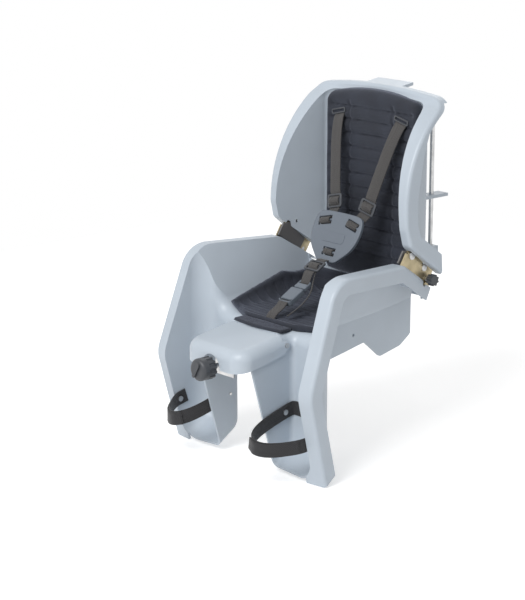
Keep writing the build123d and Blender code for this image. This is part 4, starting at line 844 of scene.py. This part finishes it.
def build_seat_pad():
    """Seat pad: cross channels over the pan's floor and up its sides."""
    start, end = SEAT_PAD_EDGE[0][0], SEAT_PAD_EDGE[-1][0]
    rows, columns = SEAT_GRID
    seams = []
    grid = []
    for row in range(rows + 1):
        y = start + (end - start) * row / rows
        reach = pad_reach(y)
        row_valley = valley_at((y - SEAT_CHANNEL_START) / SEAT_CHANNEL_PITCH)
        grid_row = []
        for column in range(columns + 1):
            share = 2 * column / columns - 1
            travel = abs(share) * reach
            (x, z), (normal_x, normal_z) = pan_place(y, travel)
            side = math.copysign(1.0, share)
            distance = min((1 - abs(share)) * reach, y - start, end - y)
            valley = row_valley * (1 - fade(reach - travel, SEAT_FADE_NEAR, SEAT_FADE_FAR))
            loss = SEAT_VALLEY * valley + SEAT_PULL * valley * pucker((x * side, y, z), STITCH_SIZE)
            swell = SEAT_SWELL * pucker((x * side, y, SWELL_NOISE_AT), SEAT_SWELL_SIZE)
            thick = (SEAT_PAD_THICKNESS - loss + swell) * rolled(distance, SEAT_ROLL)
            if thick < SEAT_PAD_THICKNESS - SEAT_HELD_DEPTH:
                seams.append(row * (columns + 1) + column)
            face = (side * (x + normal_x * thick), y, z + normal_z * thick)
            grid_row.append((face, (side * x, y, z)))
        grid.append(grid_row)
    pad = pad_from_grid("seat_pad_quilted", grid)
    press_between_seams(pad, seams, (rows + 1) * (columns + 1))
    return pad


def lining_half(z):
    """Half the width of the pan's rear wall at a height, less a small margin."""
    travel = travel_to(REAR_PANEL_Y, z, LINING_START)
    return pan_place(REAR_PANEL_Y, travel)[0][0] - REAR_PANEL_MARGIN


def build_rear_panel():
    """Turned-up rear end of the seat pad, which lines the pan's rear wall up to its dip."""
    rows, columns = REAR_PANEL_GRID
    grid = []
    for row in range(rows + 1):
        z = REAR_PANEL_LOW + (REAR_PANEL_TOP - REAR_PANEL_LOW) * row / rows
        half = lining_half(z)
        valley = valley_at((z - REAR_PANEL_LOW) / SEAT_CHANNEL_PITCH)
        grid_row = []
        for column in range(columns + 1):
            x = half * (2 * column / columns - 1)
            distance = min(half - abs(x), z - REAR_PANEL_LOW, REAR_PANEL_TOP - z)
            pull = REAR_PANEL_PULL * valley * pucker((x, REAR_PANEL_NOISE_AT, z), STITCH_SIZE)
            loss = REAR_PANEL_VALLEY * valley + pull
            thick = (REAR_PANEL_THICKNESS - loss) * rolled(distance, REAR_PANEL_ROLL)
            grid_row.append(((x, REAR_PANEL_Y - thick, z), (x, REAR_PANEL_Y, z)))
        grid.append(grid_row)
    return pad_from_grid("seat_pad_rear", grid)


def build_pad_flap():
    """Flap sewn under the seat pad's front edge, thin, with a bowed front edge."""
    low, high = (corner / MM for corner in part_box("pad_flap"))
    length = high.y - (low.y + FLAP_SHORTER)
    rows, columns = FLAP_GRID
    grid = []
    for row in range(rows + 1):
        share_y = row / rows
        grid_row = []
        for column in range(columns + 1):
            share = 2 * column / columns - 1
            bow = 1 - FLAP_BOW * share * share
            y = high.y - length * share_y * bow
            x = FLAP_HALF * share
            distance = min((1 - abs(share)) * FLAP_HALF, length * (1 - share_y) * bow)
            pull = FLAP_PULL * pucker((x, y, FLAP_NOISE_AT), FLAP_PULL_SIZE)
            thick = (high.z - low.z + pull) * rolled(distance, FLAP_ROLL)
            grid_row.append(((x, y, low.z + thick), (x, y, low.z)))
        grid.append(grid_row)
    return pad_from_grid("pad_flap_quilted", grid)


# Harness

chest_turn = math.radians(CHEST_LEAN)
chest_up = Vector((0, math.sin(chest_turn), math.cos(chest_turn)))
chest_out = Vector((0, -math.cos(chest_turn), math.sin(chest_turn)))
chest_middle = Vector((0, *CHEST_CENTRE))


def on_chest(x, up, out):
    """Point at a place on the chest plate, and a distance in front of its middle plane."""
    return chest_middle + Vector((x, 0, 0)) + chest_up * up + chest_out * out


link_top = on_chest(0, *LINK_TOP)
buckle_top = Vector((0, *BUCKLE_TOP))
buckle_along = (buckle_top - Vector((0, *BUCKLE_LOW))).normalized()
link_along = (link_top - buckle_top).normalized()


def outwards(along):
    """Direction square to a run in the seat's middle plane, towards the child."""
    return Vector((0, -along.z, along.y))


def shoulder_point(side, y, z):
    """Point on a shoulder strap's own plane."""
    return Vector((side * (SHOULDER[0] - SHOULDER_LEAN * (SHOULDER[1] - z)), y, z))


def glide_run(middle, along, out):
    """Run of webbing through a tri-glide: behind its ends and over its middle bar."""
    beyond = [(-distance, lift) for distance, lift in reversed(GLIDE_PATH)]
    steps = [*GLIDE_PATH, (0, GLIDE_PATH_LIFT), *beyond]
    return [middle + along * distance + out * lift for distance, lift in steps]


def build_glide(name, middle, along, across, node, body):
    """Tri-glide: a moulded frame with a middle bar."""
    outlines = [box_outline(GLIDE_WIDTH, GLIDE_LENGTH, GLIDE_CORNER)]
    slot = (STRAP_WIDTH + GLIDE_SLOT_ROOM, GLIDE_SLOT_HEIGHT, GLIDE_SLOT_CORNER)
    outlines += [box_outline(*slot, (0, place)) for place in (-GLIDE_SLOT_AT, GLIDE_SLOT_AT)]
    glide = outline_plate(name, outlines, middle, across, along, GLIDE_THICKNESS, GLIDE_ROUND, glide_plastic)
    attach(glide, body)
    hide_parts(node)


def build_shoulder_strap(side, hand):
    """Shoulder strap from its slot in the back, through its tri-glide, round its bar in the chest plate."""
    top = shoulder_point(side, SHOULDER_EXIT_Y, SHOULDER[1])
    bend = shoulder_point(side, *SHOULDER_BEND)
    along = (top - bend).normalized()
    across = Vector((1, 0, -side * SHOULDER_LEAN))
    across = (across - along * across.dot(along)).normalized()
    out = across.cross(along).normalized()
    if out.y > 0:
        out = -out
    middle = bend + along * SHOULDER_GLIDE_UP
    wrap = []
    for up, lift in SHOULDER_WRAP:
        place = on_chest(0, up, lift)
        wrap.append(shoulder_point(side, place.y, place.z))
    start = shoulder_point(side, SHOULDER_START_Y, SHOULDER[1])
    run = [start, top, *glide_run(middle, along, out)[:-1], *wrap]
    strap = band("shoulder_webbing_" + hand, run, across, STRAP_WIDTH, STRAP_THICKNESS, strap_webbing)
    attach(strap, "back")
    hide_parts("shoulder_strap_" + hand)
    build_glide("tri_glide_" + hand, middle, along, across, "strap_slider_" + hand, "back")


def build_slot_lip(side, hand):
    """Sewn lip round a shoulder strap's slot in the back pad."""
    turn = -side * math.degrees(math.atan(SHOULDER_LEAN))
    outlines = [box_outline(*LIP_EDGE, turn=turn), box_outline(*LIP_HOLE, turn=turn)]
    place = (side * SHOULDER[0], LIP_Y, SHOULDER[1])
    name = "slot_lip_" + hand
    lip = outline_plate(name, outlines, place, RIGHT, UP, LIP_THICKNESS, LIP_ROUND, glide_plastic)
    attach(lip, "back")


def build_chest_plate():
    """Chest plate: a smooth shield with barred slots and a blank raised panel."""
    turn = math.degrees(math.atan(SHOULDER_LEAN))
    outlines = [smooth_outline(CHEST_EDGE)]
    for up in CHEST_SLOTS_UP:
        place = shoulder_point(1, 0, on_chest(0, up, 0).z).x
        for side in (-1, 1):
            outlines.append(box_outline(*CHEST_SLOT_UP, (side * place, up), -side * turn))
    for up in CHEST_SLOTS_DOWN:
        outlines.append(box_outline(*CHEST_SLOT_DOWN, (0, up)))
    plate = outline_plate(
        "chest_shield",
        outlines,
        chest_middle,
        RIGHT,
        chest_up,
        CHEST_THICKNESS,
        CHEST_ROUND,
        harness_plastic,
    )
    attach(plate, "back")
    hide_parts("chest_plate")
    panel = outline_plate(
        "chest_panel",
        [box_outline(*CHEST_PANEL, CHEST_PANEL_AT)],
        on_chest(0, 0, CHEST_PANEL_OUT),
        RIGHT,
        chest_up,
        CHEST_PANEL_THICKNESS,
        CHEST_PANEL_ROUND,
        harness_plastic,
    )
    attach(panel, "back")


def build_link_strap():
    """Strap round the chest plate's lower bar, through the adjuster to the buckle, attached to no body."""
    wrap = [on_chest(0, up, lift) for up, lift in LINK_WRAP]
    adjuster = Vector((0, *ADJUSTER))
    run = [*wrap, *glide_run(adjuster, link_along, outwards(link_along)), buckle_top]
    strap = band("link_strap_webbing", run, RIGHT, LINK_WIDTH, STRAP_THICKNESS, strap_webbing)
    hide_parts("link_strap")
    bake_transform(strap)
    build_glide("tri_glide_link", adjuster, link_along, RIGHT, "strap_adjuster", "seat")


def build_tail():
    """Loose end of the link strap, hanging from the adjuster on edge."""
    tail = band("strap_tail", TAIL_RUN, TAIL_ACROSS, TAIL_WIDTH, TAIL_THICKNESS, strap_webbing)
    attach(tail, "seat")


def build_buckle():
    """Side-release buckle: a flat receiver with a barred end, and the upper half that plugs into it."""
    receiver = [rounded_outline(BUCKLE_FEMALE, BUCKLE_FEMALE_CORNERS)]
    receiver.append(box_outline(*BUCKLE_FEMALE_SLOT, BUCKLE_FEMALE_SLOT_AT))
    female = outline_plate(
        "buckle_receiver",
        receiver,
        buckle_top - buckle_along * BUCKLE_FEMALE_DOWN,
        RIGHT,
        buckle_along,
        BUCKLE_FEMALE_THICKNESS,
        BUCKLE_FEMALE_ROUND,
        harness_plastic,
    )
    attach(female, "seat")
    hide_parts("buckle_female")
    plug = [rounded_outline(BUCKLE_MALE, BUCKLE_MALE_CORNER)]
    plug.append(box_outline(*BUCKLE_MALE_SLOT, BUCKLE_MALE_SLOT_AT))
    male = outline_plate(
        "buckle_plug",
        plug,
        buckle_top - buckle_along * BUCKLE_MALE_DOWN,
        RIGHT,
        buckle_along,
        BUCKLE_MALE_THICKNESS,
        BUCKLE_MALE_ROUND,
        harness_plastic,
    )
    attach(male, "seat")
    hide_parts("buckle_male")


def build_crotch_strap():
    """Strap from the buckle's barred end down through the pad and the pan."""
    out = outwards(buckle_along)
    bar = buckle_top - buckle_along * CROTCH_BAR_DOWN
    wrap = [bar + buckle_along * distance + out * lift for distance, lift in CROTCH_WRAP]
    run = [*wrap, (0, *CROTCH), (0, CROTCH[0], CROTCH_END_Z)]
    strap = band("crotch_strap_webbing", run, RIGHT, LINK_WIDTH, STRAP_THICKNESS, strap_webbing)
    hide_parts("crotch_strap")
    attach(strap, "seat")


def on_band(side, x, y):
    """Point of a foot strap's middle line."""
    rise = FOOT_STRAP_RISE[0] * (x - FOOT_STRAP_AT[0]) + FOOT_STRAP_RISE[1] * (y - FOOT_STRAP_AT[1])
    return Vector((side * x, y, FOOT_STRAP_AT[2] + rise))


def build_foot_strap(side, name, node):
    """Foot strap: a band across the mouth of a foot well, with its closing end lapped over the outer half."""
    run = [on_band(side, x, y) for x, y in FOOT_RUN]
    strap = band(name, run, UP, STRAP_WIDTH, FOOT_STRAP_THICKNESS, foot_webbing)
    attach(strap, "seat")
    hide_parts(node)
    lap = [on_band(side, x, y) for x, y in FOOT_LAP_RUN]
    lap_width = STRAP_WIDTH - FOOT_LAP_NARROWER
    closing = band(name + "_lap", lap, UP, lap_width, FOOT_LAP_THICKNESS, foot_webbing)
    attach(closing, "seat")


back_pad = build_back_pad()
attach(back_pad, "back")
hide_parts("back_pad")

seat_pad = build_seat_pad()
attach(seat_pad, "seat")
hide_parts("seat_pad")

rear_panel = build_rear_panel()
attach(rear_panel, "seat")

pad_flap = build_pad_flap()
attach(pad_flap, "seat")
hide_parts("pad_flap")

for side, hand in HANDS:
    build_shoulder_strap(side, hand)
for side, hand in HANDS:
    build_slot_lip(side, hand)
build_chest_plate()
build_link_strap()
build_tail()
build_buckle()
build_crotch_strap()
for side, hand in HANDS:
    build_foot_strap(side, "foot_webbing_" + hand, "foot_strap_" + hand)


# Stage, light and camera

def add_lamp(name, place, size, watts):
    """Square soft lamp aimed at the seat."""
    lamp = bpy.data.lights.new(name, "AREA")
    lamp.size = size
    lamp.energy = watts
    holder = bpy.data.objects.new(name, lamp)
    holder.location = place
    holder.rotation_euler = (Vector(LAMP_TARGET) - Vector(place)).to_track_quat("-Z", "Y").to_euler()
    bpy.context.scene.collection.objects.link(holder)


def seen_share(nodes, links, amount):
    """Amount where a surface is seen directly, in a reflection or through glass, and 0 for its light."""
    path = nodes.new("ShaderNodeLightPath")
    most = path.outputs["Is Camera Ray"]
    for name in ("Is Glossy Ray", "Is Transmission Ray"):
        most = computed(nodes, links, "MAXIMUM", most, path.outputs[name])
    return computed(nodes, links, "MULTIPLY", most, amount)


def build_floor():
    """Pale floor that also glows a little where it is seen."""
    mesh = bmesh.new()
    bmesh.ops.create_grid(mesh, x_segments=1, y_segments=1, size=FLOOR_HALF)
    material, nodes, links, shader = new_material("floor")
    shader.inputs["Base Color"].default_value = (*WHITE, 1)
    shader.inputs["Roughness"].default_value = 0.9
    glow = nodes.new("ShaderNodeEmission")
    links.new(seen_share(nodes, links, FLOOR_GLOW), glow.inputs["Strength"])
    total = nodes.new("ShaderNodeAddShader")
    links.new(shader.outputs["BSDF"], total.inputs[0])
    links.new(glow.outputs["Emission"], total.inputs[1])
    links.new(total.outputs["Shader"], nodes["Material Output"].inputs["Surface"])
    floor = finish_piece(mesh, "floor", material)
    floor.location.z = cad_box[0][2] - FLOOR_DROP


def build_world():
    """World that is white where it is seen and lights the seat less brightly."""
    world = bpy.data.worlds.new("studio")
    world.use_nodes = True
    nodes = world.node_tree.nodes
    links = world.node_tree.links
    background = nodes["Background"]
    background.inputs["Color"].default_value = (1, 1, 1, 1)
    level = between(nodes, links, seen_share(nodes, links, 1.0), low=WORLD_LIGHT, high=1.0)
    links.new(level, background.inputs["Strength"])
    bpy.context.scene.world = world


def add_camera():
    """Camera at the photograph's viewing angle."""
    camera = bpy.data.cameras.new("photo_camera")
    camera.lens = CAMERA_LENS
    camera.sensor_width = CAMERA_SENSOR
    camera.clip_end = CAMERA_REACH
    holder = bpy.data.objects.new("photo_camera", camera)
    holder.location = CAMERA_PLACE
    holder.rotation_euler = tuple(math.radians(angle) for angle in CAMERA_TURN)
    bpy.context.scene.collection.objects.link(holder)
    bpy.context.scene.camera = holder


build_floor()
build_world()
for lamp_name, lamp_place, lamp_size, lamp_watts in LAMPS:
    add_lamp(lamp_name, lamp_place, lamp_size, lamp_watts)
add_camera()
bpy.context.scene.view_settings.view_transform = "Standard"
